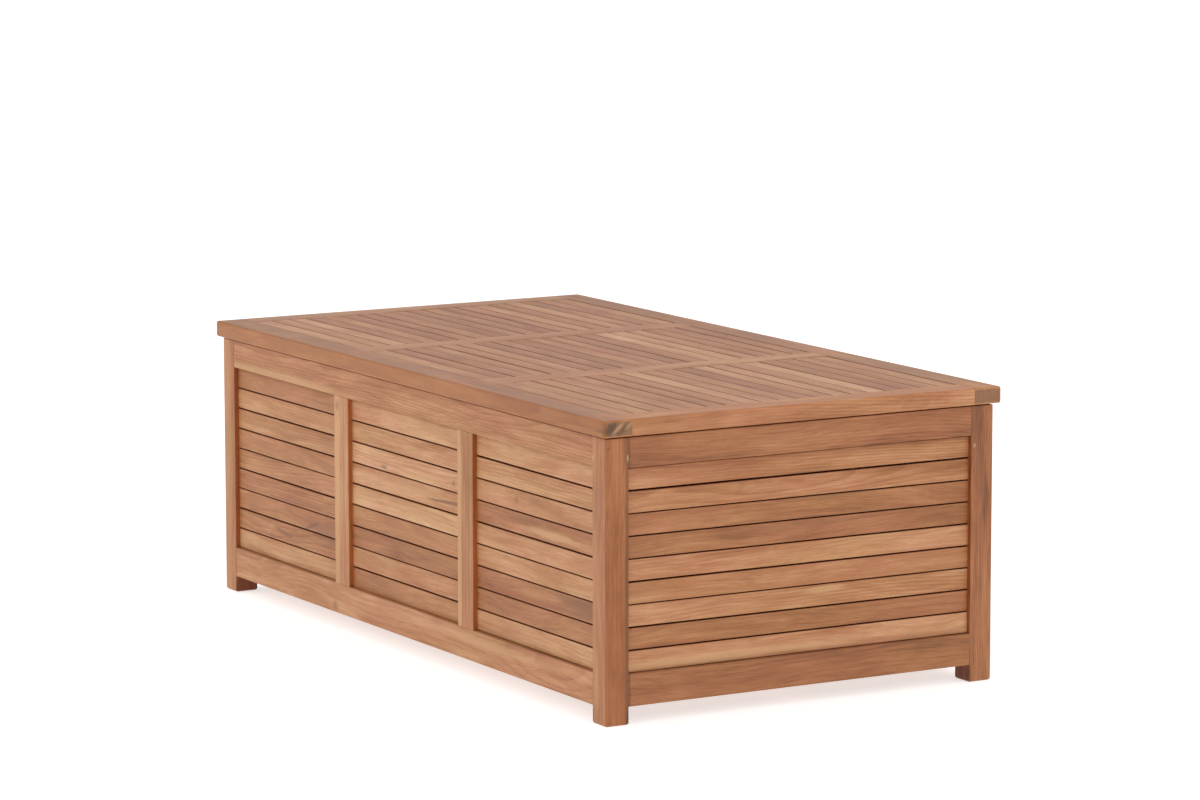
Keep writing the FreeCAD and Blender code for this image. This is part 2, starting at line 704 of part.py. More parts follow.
def stay_arm():
    """The slotted arm, hanging from the lid pivot with its slot round the wall pin."""
    first = chord(STAY_SHUT_ANGLE)
    last = chord(STAY_SHUT_ANGLE + LID_OPEN_ANGLE)
    slot_width = STAY_PIN_DIAMETER + 2 * STAY_SLOT_PLAY
    arm = long_round(last, STAY_ARM_WIDTH, STAY_ARM_THICK)
    slot = long_round(last - first, slot_width, STAY_ARM_THICK)
    slot.translate(FreeCAD.Vector(0, 0, -first))
    hole = rod(STAY_PIN_DIAMETER + 2 * HINGE_RUNNING_FIT, STAY_ARM_THICK, ORIGIN, X_AXIS)
    arm = cut_all(arm, [slot, hole])
    y0, z0 = lid_pivot()
    y1, z1 = wall_pivot()
    arm.rotate(ORIGIN, X_AXIS, math.degrees(math.atan2(y1 - y0, z0 - z1)))
    arm.translate(FreeCAD.Vector(END_FACE - ARM_INNER, y0, z0))
    return arm


def stay_plate():
    """The small plate on the inside of the top end rail that carries the wall pin."""
    y, z = wall_pivot()
    half_y, half_z = STAY_PLATE_LENGTH / 2, STAY_PLATE_HEIGHT / 2
    x0, x1 = END_FACE - PLATE_FACE, END_FACE
    plate = block(x0, x1, y - half_y, y + half_y, z - half_z, z + half_z)
    hole = stay_depth(0, PLATE_FACE, y, z, STAY_PIN_DIAMETER)
    return cut_all(plate, [hole] + stay_wall_screws(1, True))


def stay_pin():
    """The headed pin, riveted into the plate, that the slot slides over."""
    y, z = wall_pivot()
    shank = stay_depth(0, HEAD_OUTER, y, z, STAY_PIN_DIAMETER)
    return fuse_all([shank, stay_depth(HEAD_OUTER, HEAD_INNER, y, z, STAY_PIN_HEAD_DIAMETER)])


def stay_bracket():
    """The angle bracket under the end of the lid, with a rounded lug down to the pivot."""
    y, z = lid_pivot()
    half = STAY_BRACKET_LENGTH / 2
    x1 = END_FACE - BRACKET_OUTER
    foot_z = LID_UNDERSIDE - STAY_PLATE_THICK
    foot = block(x1 - STAY_BRACKET_FOOT, x1, y - half, y + half, foot_z, LID_UNDERSIDE)
    lug_width = STAY_ARM_WIDTH / 2
    x0 = END_FACE - BRACKET_INNER
    lug = block(x0, x1, y - lug_width, y + lug_width, z, LID_UNDERSIDE)
    tip = stay_depth(BRACKET_OUTER, BRACKET_INNER, y, z, STAY_ARM_WIDTH)
    hole = stay_depth(BRACKET_OUTER, BRACKET_INNER, y, z, STAY_PIN_DIAMETER)
    return cut_all(fuse_all([foot, lug, tip]), [hole] + stay_lid_screws(1, True))


def stay_rivet():
    """The headed rivet that joins the arm to the lid bracket and lets it turn."""
    y, z = lid_pivot()
    shank = stay_depth(BRACKET_OUTER, HEAD_OUTER, y, z, STAY_PIN_DIAMETER)
    return fuse_all([shank, stay_depth(HEAD_OUTER, HEAD_INNER, y, z, STAY_PIN_HEAD_DIAMETER)])


def stay_wall_screws(side, holes):
    """Two screws through the plate into the top end rail."""
    make = screw_hole if holes else screw
    y, z = wall_pivot()
    half = STAY_SCREW_SPACING / 2
    x = END_FACE - PLATE_FACE
    heads = [FreeCAD.Vector(x, y + i * half, z) for i in (-1, 1)]
    return [mirrored(make(STAY_SCREW_LENGTH, head, X_AXIS), side) for head in heads]


def stay_lid_screws(side, holes):
    """Two screws up through the foot of the bracket into the lid's end rail."""
    make = screw_hole if holes else screw
    y, _ = lid_pivot()
    half = STAY_SCREW_SPACING / 2
    x = END_FACE - BRACKET_OUTER - STAY_BRACKET_FOOT / 2
    z = LID_UNDERSIDE - STAY_PLATE_THICK
    heads = [FreeCAD.Vector(x, y + i * half, z) for i in (-1, 1)]
    return [mirrored(make(STAY_SCREW_LENGTH, head, Z_AXIS), side) for head in heads]


def save_stays():
    for name, side in SIDES.items():
        save("stay_arm_" + name, mirrored(stay_arm(), side))
        save("stay_plate_" + name, mirrored(stay_plate(), side))
        save("stay_bracket_" + name, mirrored(stay_bracket(), side))
    sides = SIDES.values()
    save("stay_pins", Part.makeCompound([mirrored(stay_pin(), side) for side in sides]))
    save("stay_rivets", Part.makeCompound([mirrored(stay_rivet(), side) for side in sides]))


# ---------------------------------------------------------------- fasteners and bumpers
def save_fasteners():
    body = hinge_screws("body", False)
    lid = hinge_screws("lid", False)
    for side in SIDES.values():
        body += stay_wall_screws(side, False)
        lid += stay_lid_screws(side, False)
    save("hardware_screws_body", Part.makeCompound(body))
    save("hardware_screws_lid", Part.makeCompound(lid))


def save_bumpers():
    """A rubber pad on top of each post, which the lid comes down on."""
    x = (BODY_LENGTH - POST) / 2
    y = (BODY_WIDTH - POST) / 2
    height = LID_GAP - BUMPER_SQUEEZE
    places = [FreeCAD.Vector(i * x, j * y, BODY_TOP) for i in (-1, 1) for j in (-1, 1)]
    pads = [rod(BUMPER_DIAMETER, height, place, Z_AXIS) for place in places]
    save("lid_bumpers", Part.makeCompound(pads))


os.makedirs("parts", exist_ok=True)
save_walls()
save_floor()
save_lid()
save_hinges()
save_stays()
save_fasteners()
save_bumpers()
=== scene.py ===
"""A teak deck storage box: every board, peg, screw and fitting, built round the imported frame.

Metres. X runs along the box, Y from its front to its hinges, Z up. The lid is shut at rest.
"""

import math
import random
from typing import NamedTuple

import bmesh
import bpy
from mathutils import Matrix, Vector


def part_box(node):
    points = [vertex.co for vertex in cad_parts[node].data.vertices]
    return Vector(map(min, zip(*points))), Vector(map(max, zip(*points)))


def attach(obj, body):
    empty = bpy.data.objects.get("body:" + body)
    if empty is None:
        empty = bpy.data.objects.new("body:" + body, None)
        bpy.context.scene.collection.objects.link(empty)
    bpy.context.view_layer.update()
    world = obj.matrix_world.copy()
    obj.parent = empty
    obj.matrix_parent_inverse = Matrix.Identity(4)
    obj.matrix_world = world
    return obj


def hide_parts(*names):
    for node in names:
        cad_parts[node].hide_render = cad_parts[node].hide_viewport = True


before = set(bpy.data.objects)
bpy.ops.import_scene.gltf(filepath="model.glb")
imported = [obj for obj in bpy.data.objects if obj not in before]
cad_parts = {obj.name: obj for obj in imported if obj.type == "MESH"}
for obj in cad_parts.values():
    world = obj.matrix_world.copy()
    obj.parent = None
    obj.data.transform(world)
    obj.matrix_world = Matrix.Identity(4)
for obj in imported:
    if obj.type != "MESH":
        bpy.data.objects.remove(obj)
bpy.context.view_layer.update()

# ------------------------ sizes, in metres
EASED = 0.0010               # the rounding of a planed edge
JOINT_EASED = 0.0005         # the rounding of an edge that meets another board
FOOT_ROUND = 0.0045
LID_ROUND = 0.004
ROUNDING_STEPS = 4
REVEAL = 0.0003              # how far a rail is set back from the post beside it
SETTLED = 0.0014             # how far the lowest slat of a wall has sunk, and the others less
LOOSE_SLAT = 0.0005          # how far a slat may sit from its true place
SLAT_TILT = (0.0012, 0.0006, 0.0009)  # how far a slat may be turned, in radians
SLAT_ROUNDING_STEPS = 2
PEG_DOME = 0.0004
PEG_SIDES = 20
SCREW_RECESS = 0.0013
SCREW_SIDES = 12
HAIR = 1e-6                  # less than this is no distance at all
END_DEPTH = 1e-5             # what lies this near to a board's end is its end grain
FACING = 0.9                 # how well a face must look a way to count as looking that way
HEAD_SHARE = 0.98            # what lies further out than this share of a screw's radius is head
ANY_TURN = 6.28              # in radians

WALL_SLATS = 9
WALL_SLAT_WIDTH = 0.037
LID_SLATS = 19
LID_SLAT_WIDTH = 0.034
FLOOR_SLATS = 21
FLOOR_SLAT_WIDTH = 0.058

# Where the boards were cut from one long log: how far along it and how far from its heart.
LOG_LENGTH = 40.0
BOARD_FROM_HEART = (0.03, 0.12)
SLAT_FROM_HEART = 0.09
FROM_PEG_TO_PEG = (0.37, 0.021, 0.013)

# ------------------------ how pale the boards are
# From 0, the darkest wood, to 1, the palest.
POST_TONES = {
    "post_front_left": 0.39,
    "post_front_right": 0.42,
    "post_back_left": 0.45,
    "post_back_right": 0.35,
}
RAIL_TONES = {
    "top_rail_front": 0.48,
    "bottom_rail_front": 0.52,
    "top_rail_right": 0.30,
    "bottom_rail_right": 0.26,
    "top_rail_back": 0.50,
    "bottom_rail_back": 0.46,
    "top_rail_left": 0.48,
    "bottom_rail_left": 0.50,
}
MULLION_TONES = {"left": 0.49, "right": 0.40}
LID_TONES = {
    "lid_rail_front": 0.46,
    "lid_rail_back": 0.46,
    "lid_end_rail_left": 0.52,
    "lid_end_rail_right": 0.50,
    "lid_cross_rail_left": 0.52,
    "lid_cross_rail_right": 0.56,
}
FLOOR_TONE = 0.45
PEG_TONE = 0.42
# The slats of a row as digits from 0, dark, to 9, pale: walls from the bottom up, lid from
# front to back. Rows that are not named take their digits by chance from the pile.
LAID_TONES = {
    "slats_front_left": "644453554",
    "slats_front_middle": "452586877",
    "slats_front_right": "743764677",
    "slats_right_end": "736462354",
    "lid_slats_left": "7685534545535647445",
    "lid_slats_middle": "7455563446545775554",
    "lid_slats_right": "5665554765476794556",
}
PILE = "3445556678"
MIDDLE_TONE = 0.50           # the tone of the digit 5
TONE_STEP = 0.065            # from one digit to the next

# ------------------------ colours of the wood
# Oiled teak from its darkest heartwood to its palest sapwood.
TEAK = (
    (0.00, (0.130, 0.046, 0.018)),
    (0.25, (0.300, 0.110, 0.037)),
    (0.50, (0.430, 0.184, 0.076)),
    (0.75, (0.570, 0.304, 0.155)),
    (1.00, (0.720, 0.450, 0.265)),
)
PINK_CAST = (1.02, 0.970, 0.975)
GOLD_CAST = (1.01, 1.040, 0.955)
SAPWOOD = (0.600, 0.345, 0.165)
HEART = (0.210, 0.085, 0.036)
# dark heart, also used as painted shade at the joint beside the near post
DARK_HEART_AND_JOINT_SHADE = (0.120, 0.036, 0.011)
RUST = (0.300, 0.090, 0.030)
# also the colour of the painted shade along the edges of a board
PORE_AND_EDGE_SHADE = (0.120, 0.045, 0.020)
END_GRAIN = (0.190, 0.088, 0.040)
PALE_END = (0.330, 0.170, 0.082)
PALE_SPOT = (0.720, 0.560, 0.400)
INK = (0.030, 0.018, 0.012)
# The colour of the wood is multiplied by a cast, so that its figure can still be seen.
# The first two casts are painted shade on faces that stand close beside another board.
FRAME_SHADE_CAST = (0.88, 0.56, 0.27)
GAP_SHADE_CAST = (0.48, 0.28, 0.17)
POST_END_CAST = (0.83, 0.71, 0.53)
# painted shade on the inner sides of the feet, under the box
FOOT_SHADE_CAST = (0.48, 0.45, 0.38)
LID_END_CAST = (1.24, 1.14, 1.00)
LID_CAST = (1.08, 1.01, 0.99)
LID_EDGE_CAST = (0.99, 0.95, 0.66)
RUBBER = (0.018, 0.018, 0.018)
DUSTY_RUBBER = (0.075, 0.072, 0.068)


# ------------------------ marks in the wood, and painted shade
MARK_DEPTH = 0.02            # how far a mark reaches into the wood
wall_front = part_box("post_front_right")[0].y
wall_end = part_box("post_front_right")[1].x
slat_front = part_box("slats_front_left")[0].y
slat_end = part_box("slats_right_end")[1].x
foot_low, foot_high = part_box("post_back_right")
foot_middle = (foot_low + foot_high) / 2
lid_low, lid_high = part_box("lid_rail_front")


class Mark(NamedTuple):
    """A patch on the box, most of other wood and some of painted shade: where, how large, its looks and
    which way it leans.
    """

    place: tuple
    size: tuple
    colour: tuple
    strength: float
    soft: float
    fray: float
    lean: tuple = (0, 0, 0)
    how: str = "MIX"


def on_front(face, place, size, colour, strength, soft, fray, lean=0):
    """A mark on a face at the front, with its X and Z, its width and height."""
    (x, z), (wide, high) = place, size
    return Mark((x, face, z), (wide, MARK_DEPTH, high), colour, strength, soft, fray, (0, lean, 0))


def on_end(face, place, size, colour, strength, soft, fray, lean=0):
    """A mark on a face at the right end, with its Y and Z, its width and height."""
    (y, z), (wide, high) = place, size
    return Mark((face, y, z), (MARK_DEPTH, wide, high), colour, strength, soft, fray, (lean, 0, 0))


def cast_over(place, size, cast, soft=0.3, fray=0.2):
    """A mark that multiplies the colour of the wood by a cast."""
    return Mark(place, size, cast, 1.0, soft, fray, how="MULTIPLY")


POST_MARKS = [
    # the right posts: a darker end face, a brown streak with painted shade of the joint at its inner edge,
    # pale spots and small stains
    cast_over((wall_end, -0.3720, 0.26), (0.003, 0.0800, 1.80), POST_END_CAST),
    on_end(wall_end, (-0.3490, 0.26), (0.0075, 0.90), DARK_HEART_AND_JOINT_SHADE, 0.52, 0.16, 0.5),
    on_end(wall_end, (-0.3505, 0.460), (0.0018, 0.0050), PALE_SPOT, 0.55, 0.3, 0.3),
    Mark((0.6960, wall_front, 0.458), (0.0020, 0.02, 0.0045), PALE_SPOT, 0.40, 0.3, 0.3),
    on_end(wall_end, (0.3560, 0.425), (0.0026, 0.0035), PALE_SPOT, 0.32, 0.3, 0.3),
    on_end(wall_end, (-0.389, 0.478), (0.0030, 0.002), INK, 0.35, 0.3, 0.5),
    on_end(wall_end, (-0.374, 0.095), (0.0045, 0.006), RUST, 0.55, 0.4, 0.8),
    Mark((0.728, wall_front, 0.33), (0.006, 0.01, 0.16), RUST, 0.25, 0.25, 1.0),
    # the left post: sapwood at its outer edge
    on_front(wall_front, (-0.732, 0.25), (0.017, 0.60), SAPWOOD, 0.28, 0.3, 0.6),
]
# painted shade: the inner sides of the feet, under the box, are darker
POST_MARKS += [
    cast_over((foot_low.x * x, foot_middle.y * y, 0.010), (0.004, 0.050, 0.022), FOOT_SHADE_CAST, 0.25, 0.3)
    for x in (-1, 1)
    for y in (-1, 1)
]
POST_MARKS += [
    cast_over((foot_middle.x * x, foot_low.y * y, 0.010), (0.050, 0.004, 0.022), FOOT_SHADE_CAST, 0.25, 0.3)
    for x in (-1, 1)
    for y in (-1, 1)
]
MULLION_MARKS = (
    # the left mullion: sapwood at its left edge and a knot near its top
    on_front(wall_front, (-0.258, 0.27), (0.010, 0.32), SAPWOOD, 0.60, 0.25, 0.6),
    on_front(wall_front, (-0.256, 0.425), (0.007, 0.008), HEART, 0.45, 0.3, 0.6),
    on_front(wall_front, (-0.231, 0.24), (0.004, 0.20), RUST, 0.25, 0.2, 0.8),
    # the right mullion: sapwood at its left edge and dark lines at its right
    on_front(wall_front, (0.2185, 0.27), (0.009, 0.32), SAPWOOD, 0.65, 0.1, 0.3),
    on_front(wall_front, (0.254, 0.30), (0.0022, 0.25), HEART, 0.42, 0.2, 0.6),
    on_front(wall_front, (0.246, 0.33), (0.0016, 0.18), HEART, 0.30, 0.2, 0.6),
)
RAIL_MARKS = (
    # painted shade of the joint where the end rails meet the near post
    on_end(wall_end, (-0.3495, 0.26), (0.0040, 0.90), DARK_HEART_AND_JOINT_SHADE, 0.50, 0.2, 0.5),
    # the front rails: a knot and bands of paler wood
    on_front(wall_front, (-0.270, 0.044), (0.010, 0.008), HEART, 0.50, 0.3, 0.6),
    on_front(wall_front, (-0.500, 0.447), (0.260, 0.009), SAPWOOD, 0.55, 0.25, 0.5),
    on_front(wall_front, (0.300, 0.070), (0.300, 0.008), SAPWOOD, 0.50, 0.25, 0.7),
)
SLAT_MARKS = (
    # left bay: one slat darker at its right, a dark flame below it and a rusty patch
    on_front(slat_front, (-0.300, 0.176), (0.085, 0.021), HEART, 0.42, 0.07, 1.1, -6),
    on_front(slat_front, (-0.385, 0.176), (0.040, 0.0040), HEART, 0.80, 0.2, 0.8, -20),
    on_front(slat_front, (-0.505, 0.147), (0.050, 0.0050), HEART, 0.62, 0.2, 1.1, 9),
    on_front(slat_front, (-0.552, 0.134), (0.009, 0.005), HEART, 0.40, 0.4, 1.0),
    on_front(slat_front, (-0.600, 0.232), (0.100, 0.012), RUST, 0.20, 0.2, 1.0),
    # middle bay: a thin dark flame, pin knots and a dark streak
    on_front(slat_front, (0.165, 0.302), (0.075, 0.0030), HEART, 0.85, 0.2, 0.6, -3),
    on_front(slat_front, (0.182, 0.340), (0.005, 0.006), HEART, 0.60, 0.3, 0.5, 30),
    on_front(slat_front, (-0.085, 0.332), (0.012, 0.0030), INK, 0.50, 0.3, 0.6),
    on_front(slat_front, (-0.020, 0.196), (0.140, 0.0060), HEART, 0.35, 0.3, 1.0, 6),
    # right bay: one slat dark at its right end, streaks of rust, heart and sapwood, a knot
    on_front(slat_front, (0.670, 0.189), (0.110, 0.019), HEART, 0.66, 0.25, 1.0),
    on_front(slat_front, (0.395, 0.173), (0.130, 0.0060), RUST, 0.60, 0.3, 0.8),
    on_front(slat_front, (0.440, 0.312), (0.090, 0.0070), HEART, 0.35, 0.25, 1.0, -4),
    on_front(slat_front, (0.540, 0.298), (0.100, 0.0070), SAPWOOD, 0.60, 0.25, 0.9),
    on_front(slat_front, (0.415, 0.345), (0.006, 0.007), RUST, 0.50, 0.3, 0.5),
    # right end: painted shade of the joint beside the near post, dark flames, small knots and bands of
    # sapwood
    on_end(slat_end, (-0.3495, 0.26), (0.0040, 0.90), DARK_HEART_AND_JOINT_SHADE, 0.50, 0.2, 0.5),
    on_end(slat_end, (0.010, 0.314), (0.160, 0.0070), HEART, 0.30, 0.25, 1.0, 2),
    on_end(slat_end, (-0.121, 0.389), (0.012, 0.0055), HEART, 0.26, 0.4, 1.2, 50),
    on_end(slat_end, (-0.090, 0.398), (0.005, 0.0035), HEART, 0.30, 0.4, 0.8),
    on_end(slat_end, (-0.104, 0.226), (0.012, 0.0050), HEART, 0.26, 0.4, 1.2, -20),
    on_end(slat_end, (0.050, 0.360), (0.090, 0.0060), HEART, 0.28, 0.25, 1.0),
    on_end(slat_end, (0.050, 0.196), (0.040, 0.0060), SAPWOOD, 0.60, 0.25, 0.8),
    on_end(slat_end, (-0.150, 0.100), (0.260, 0.0060), SAPWOOD, 0.60, 0.25, 0.6),
)
LID_MARKS = (
    # the front edge of the front rail has a deeper colour
    Mark((0.0, lid_low.y, 0.512), (1.60, 0.006, 0.050), RUST, 0.44, 0.30, 0.9),
    cast_over((0.0, lid_low.y, 0.512), (3.20, 0.006, 0.050), LID_EDGE_CAST, 0.30, 0.4),
    # the cross rails and the right end rail have warmer tops
    cast_over((-0.241, 0.0, lid_high.z), (0.05, 0.80, 0.004), LID_CAST),
    cast_over((0.241, 0.0, lid_high.z), (0.05, 0.80, 0.004), LID_CAST),
    cast_over((lid_high.x - 0.028, 0.0, lid_high.z), (0.05, 0.80, 0.004), LID_END_CAST),
    # the end grain of the front rail at the near corner is stained, with pale slashes
    Mark((lid_high.x, lid_low.y + 0.014, 0.513), (0.03, 0.012, 0.009), INK, 0.62, 0.35, 1.3, (25, 0, 0)),
    Mark((lid_high.x, lid_low.y + 0.040, 0.511), (0.03, 0.013, 0.005), INK, 0.50, 0.35, 1.2, (40, 0, 0)),
    Mark((lid_high.x, lid_low.y + 0.029, 0.514), (0.03, 0.014, 0.003), SAPWOOD, 0.45, 0.30, 0.8, (40, 0, 0)),
    Mark((lid_high.x, lid_low.y + 0.050, 0.517), (0.03, 0.009, 0.003), SAPWOOD, 0.40, 0.30, 0.8, (40, 0, 0)),
)
LID_SLAT_MARKS = (cast_over((0.0, 0.0, lid_high.z), (3.20, 1.80, 0.020), LID_CAST),)


# ------------------------ nodes as expressions
class Value:
    """What comes out of a node, ready for sums with numbers and other values."""

    def __init__(self, nodes, socket):
        self.nodes = nodes
        self.socket = socket

    def _maths(self, operation, first, second):
        settings = {"operation": operation}
        return self.nodes.node("ShaderNodeMath", settings, {0: first, 1: second})

    def __add__(self, other):
        return self._maths("ADD", self, other)

    def __radd__(self, other):
        return self._maths("ADD", other, self)

    def __sub__(self, other):
        return self._maths("SUBTRACT", self, other)

    def __rsub__(self, other):
        return self._maths("SUBTRACT", other, self)

    def __mul__(self, other):
        return self._maths("MULTIPLY", self, other)

    def __truediv__(self, other):
        return self._maths("DIVIDE", self, other)

    def __pow__(self, other):
        return self._maths("POWER", self, other)

    def fraction(self):
        return self._maths("FRACT", self, 0)

    def size(self):
        return self._maths("ABSOLUTE", self, 0)


class Nodes:
    """A node tree and the one way that nodes are added to it."""

    def __init__(self, tree):
        self.tree = tree

    def node(self, kind, settings=None, values=None, output=0):
        node = self.tree.nodes.new(kind)
        for name, setting in (settings or {}).items():
            if name == "stops":
                self._set_ramp(node.color_ramp, setting)
            else:
                setattr(node, name, setting)
        for name, value in (values or {}).items():
            self.feed(node.inputs[name], value)
        return Value(self, node.outputs[output])

    def feed(self, socket, value):
        if isinstance(value, Value):
            self.tree.links.new(value.socket, socket)
        else:
            socket.default_value = value

    @staticmethod
    def _set_ramp(ramp, stops):
        while len(ramp.elements) < len(stops):
            ramp.elements.new(1.0)
        for element, (place, colour) in zip(ramp.elements, stops):
            element.position = place
            element.color = (*colour, 1.0)

    def vector(self, operation, first, second):
        settings = {"operation": operation}
        return self.node("ShaderNodeVectorMath", settings, {0: first, 1: second})

    def joined(self, x, y, z):
        return self.node("ShaderNodeCombineXYZ", None, {"X": x, "Y": y, "Z": z})

    def split(self, vector):
        return [
            self.node("ShaderNodeSeparateXYZ", None, {"Vector": vector}, output)
            for output in range(3)
        ]


class Finish(Nodes):
    """A material for one kind of surface."""

    def __init__(self, name):
        self.material = bpy.data.materials.new(name)
        self.material.use_nodes = True
        super().__init__(self.material.node_tree)
        self.shader = self.tree.nodes["Principled BSDF"].inputs

    def own(self, name, number=False):
        """One of the piece's own attributes."""
        settings = {"attribute_type": "GEOMETRY", "attribute_name": name}
        return self.node("ShaderNodeAttribute", settings, None, 2 if number else 1)

    def place(self):
        return self.node("ShaderNodeTexCoord", None, None, 3)

    def noise(self, vector, scale=1.0, detail=2.0, roughness=0.5):
        values = {"Vector": vector, "Scale": scale, "Detail": detail, "Roughness": roughness}
        return self.node("ShaderNodeTexNoise", None, values)

    def stretched(self, parts, scales, **how):
        """Noise that is drawn out by different scales along the three parts of a place."""
        scaled = [part * scale for part, scale in zip(parts, scales)]
        return self.noise(self.joined(*scaled), **how)

    def figure(self, parts, repeats, **how):
        """Noise that repeats so often in a metre along the grain, and so often across it."""
        along, across = repeats
        return self.stretched(parts, (along, across, across), **how)

    def step(self, value, low, high, start=0.0, end=1.0):
        """A smooth rise from start to end as the value goes from low to high."""
        settings = {"interpolation_type": "SMOOTHSTEP"}
        values = {"Value": value, "From Min": low, "From Max": high}
        values.update({"To Min": start, "To Max": end})
        return self.node("ShaderNodeMapRange", settings, values)

    def mixed(self, share, first, second, how="MIX"):
        """Colours mixed by a share of the second."""
        colours = [c if isinstance(c, Value) else (*c, 1.0) for c in (first, second)]
        settings = {"data_type": "RGBA", "blend_type": how}
        return self.node("ShaderNodeMix", settings, {0: share, 6: colours[0], 7: colours[1]}, 2)

    def ramp(self, value, stops):
        return self.node("ShaderNodeValToRGB", {"stops": stops}, {"Fac": value})

    def bump(self, height, strength, distance):
        values = {"Height": height, "Strength": strength, "Distance": distance}
        self.feed(self.shader["Normal"], self.node("ShaderNodeBump", None, values))

    def blot(self, place, size, lean=(0, 0, 0)):
        """A soft oval: 1 at its place on the box, a half at its size and less further out."""
        turn = [math.radians(angle) for angle in lean]
        values = {"Vector": self.place(), "Location": place, "Rotation": turn, "Scale": size}
        offset = self.node("ShaderNodeMapping", {"vector_type": "TEXTURE"}, values)
        length = self.node("ShaderNodeVectorMath", {"operation": "LENGTH"}, {0: offset}, 1)
        return 1.0 - length * 0.5


# ------------------------ finishes
RING = 0.0046                # from one growth ring to the next
RING_SWAY = 0.075            # how far the rings wander
RING_RIPPLE = 0.004
BEND_ACROSS = 0.045          # how far the fibres bend
BEND_THROUGH = 0.02

# How often each part of the figure repeats in a metre, along the grain and across it.
BEND = (3.0, 9.0)
SWAY = (1.3, 6.0)
RIPPLE = (7.0, 30.0)
KIND = (0.8, 5.0)
GOLD = (2.6, 15.0)
PLUME = (7.0, 36.0)
DRIFT = (1.6, 12.0)
STREAK = (3.4, 170.0)
FIBRE = (22.0, 760.0)
PORES = (60.0, 2300.0)
HEARTS = (3.4, 30.0)
SPECKS = (90.0, 900.0)
FRAYED = (14.0, 130.0)

# How strongly each part of it shades the wood.
PLUME_SHADE = 0.54
DRIFT_SHADE = 0.34
STREAK_SHADE = 0.50
FIBRE_SHADE = 0.38
RING_SHADE = 0.15
HEART_SHADE = 0.09
SHADE_LIFT = 0.02
PORE_SHARE = 0.34
# how much painted shade darkens the edges of a board
EDGE_SHADE_SHARE = 0.14
END_SHARE = 0.85


def teak(name, roughness=0.54, marks=(), beside=GAP_SHADE_CAST):
    """Teak cut from a round tree: rings about its heart, streaks, fibres and open pores.

    Each board carries where it grew in its grain attribute, so the figure runs on round its
    edges and shows as rings on its ends. Marks are sapwood, dark heart, knots, stains and
    painted shade; faces beside other boards and edges where two faces meet get painted shade too.
    """
    finish = Finish(name)
    grain = finish.split(finish.own("grain"))
    reach = finish.split(finish.own("reach"))
    tone = finish.own("tone", number=True)
    end = finish.own("end_grain", number=True)
    along, across, through = grain
    bend = finish.figure(grain, BEND, detail=1.0) - 0.5
    bent = (along, across + bend * BEND_ACROSS, through + bend * BEND_THROUGH)

    sway = finish.figure(grain, SWAY, detail=1.5)
    ripple = finish.figure(grain, RIPPLE, detail=2.0)
    heart = (across * across + through * through) ** 0.5
    rings = (heart + (sway - 0.5) * RING_SWAY + (ripple - 0.5) * RING_RIPPLE) / RING
    ring = rings.fraction()
    late = finish.step(ring, 0.35, 0.90) - finish.step(ring, 0.91, 1.0)

    # Some boards are plain and some are figured; some are golden and some are pink.
    kind = finish.figure(grain, KIND, detail=0.0)
    figured = finish.step(kind, 0.45, 0.62, 0.20, 1.0)
    gold = finish.figure(bent, GOLD, detail=2.0, roughness=0.6)

    plume = finish.figure(bent, PLUME, detail=2.5, roughness=0.55)
    drift = finish.figure(grain, DRIFT, detail=1.0)
    streak = finish.figure(bent, STREAK, detail=3.0, roughness=0.65)
    fibre = finish.figure(bent, FIBRE, detail=2.0)
    pores = finish.figure(bent, PORES, detail=1.0)
    pore = finish.step(pores, 0.60, 0.72) * finish.step(ring, 0.95, 0.35, 0.35, 1.0)
    hearts = finish.figure(bent, HEARTS, detail=2.5, roughness=0.6)
    heartwood = finish.step(hearts, 0.60, 0.70)

    shade = tone + (plume - 0.5) * PLUME_SHADE + (drift - 0.5) * DRIFT_SHADE
    shade = shade + (streak - 0.5) * STREAK_SHADE + (fibre - 0.5) * FIBRE_SHADE
    shade = shade - late * figured * RING_SHADE - heartwood * HEART_SHADE + SHADE_LIFT
    colour = finish.ramp(shade, TEAK)
    tint = finish.mixed(finish.step(gold, 0.36, 0.64), PINK_CAST, GOLD_CAST)
    colour = finish.mixed(1.0, colour, tint, "MULTIPLY")
    colour = finish.mixed(pore * PORE_SHARE, colour, PORE_AND_EDGE_SHADE)

    # Painted shade: where two faces of a board meet it is a little darker.
    edge = finish.step(reach[1].size(), 0.90, 1.0) + finish.step(reach[2].size(), 0.90, 1.0)
    colour = finish.mixed(finish.step(edge, 1.0, 2.0, 0.0, EDGE_SHADE_SHARE), colour, PORE_AND_EDGE_SHADE)
    # Painted shade: faces that stand close beside another board are darker.
    snug = finish.own("snug", number=True)
    colour = finish.mixed(snug, colour, beside, "MULTIPLY")

    specks = finish.figure(grain, SPECKS, detail=3.0)
    end_colour = finish.mixed(finish.step(specks, 0.35, 0.7), END_GRAIN, PALE_END)
    end_colour = finish.mixed(late * 0.5, end_colour, PORE_AND_EDGE_SHADE)
    colour = finish.mixed(end * END_SHARE, colour, end_colour)

    frayed = finish.figure(grain, FRAYED, detail=3.0, roughness=0.6)
    for mark in marks:
        worn = finish.blot(mark.place, mark.size, mark.lean) + (frayed - 0.5) * mark.fray
        share = finish.step(worn, 0.5 - mark.soft, 0.5 + mark.soft, 0.0, mark.strength)
        colour = finish.mixed(share, colour, mark.colour, mark.how)

    finish.feed(finish.shader["Base Color"], colour)
    finish.feed(finish.shader["Roughness"], roughness + (streak - 0.5) * 0.16 + end * 0.12)
    finish.shader["Specular IOR Level"].default_value = 0.44
    finish.bump(fibre * 0.5 + streak * 0.6 - pore * 0.7 - late * 0.2, 0.55, 0.0004)
    return finish.material


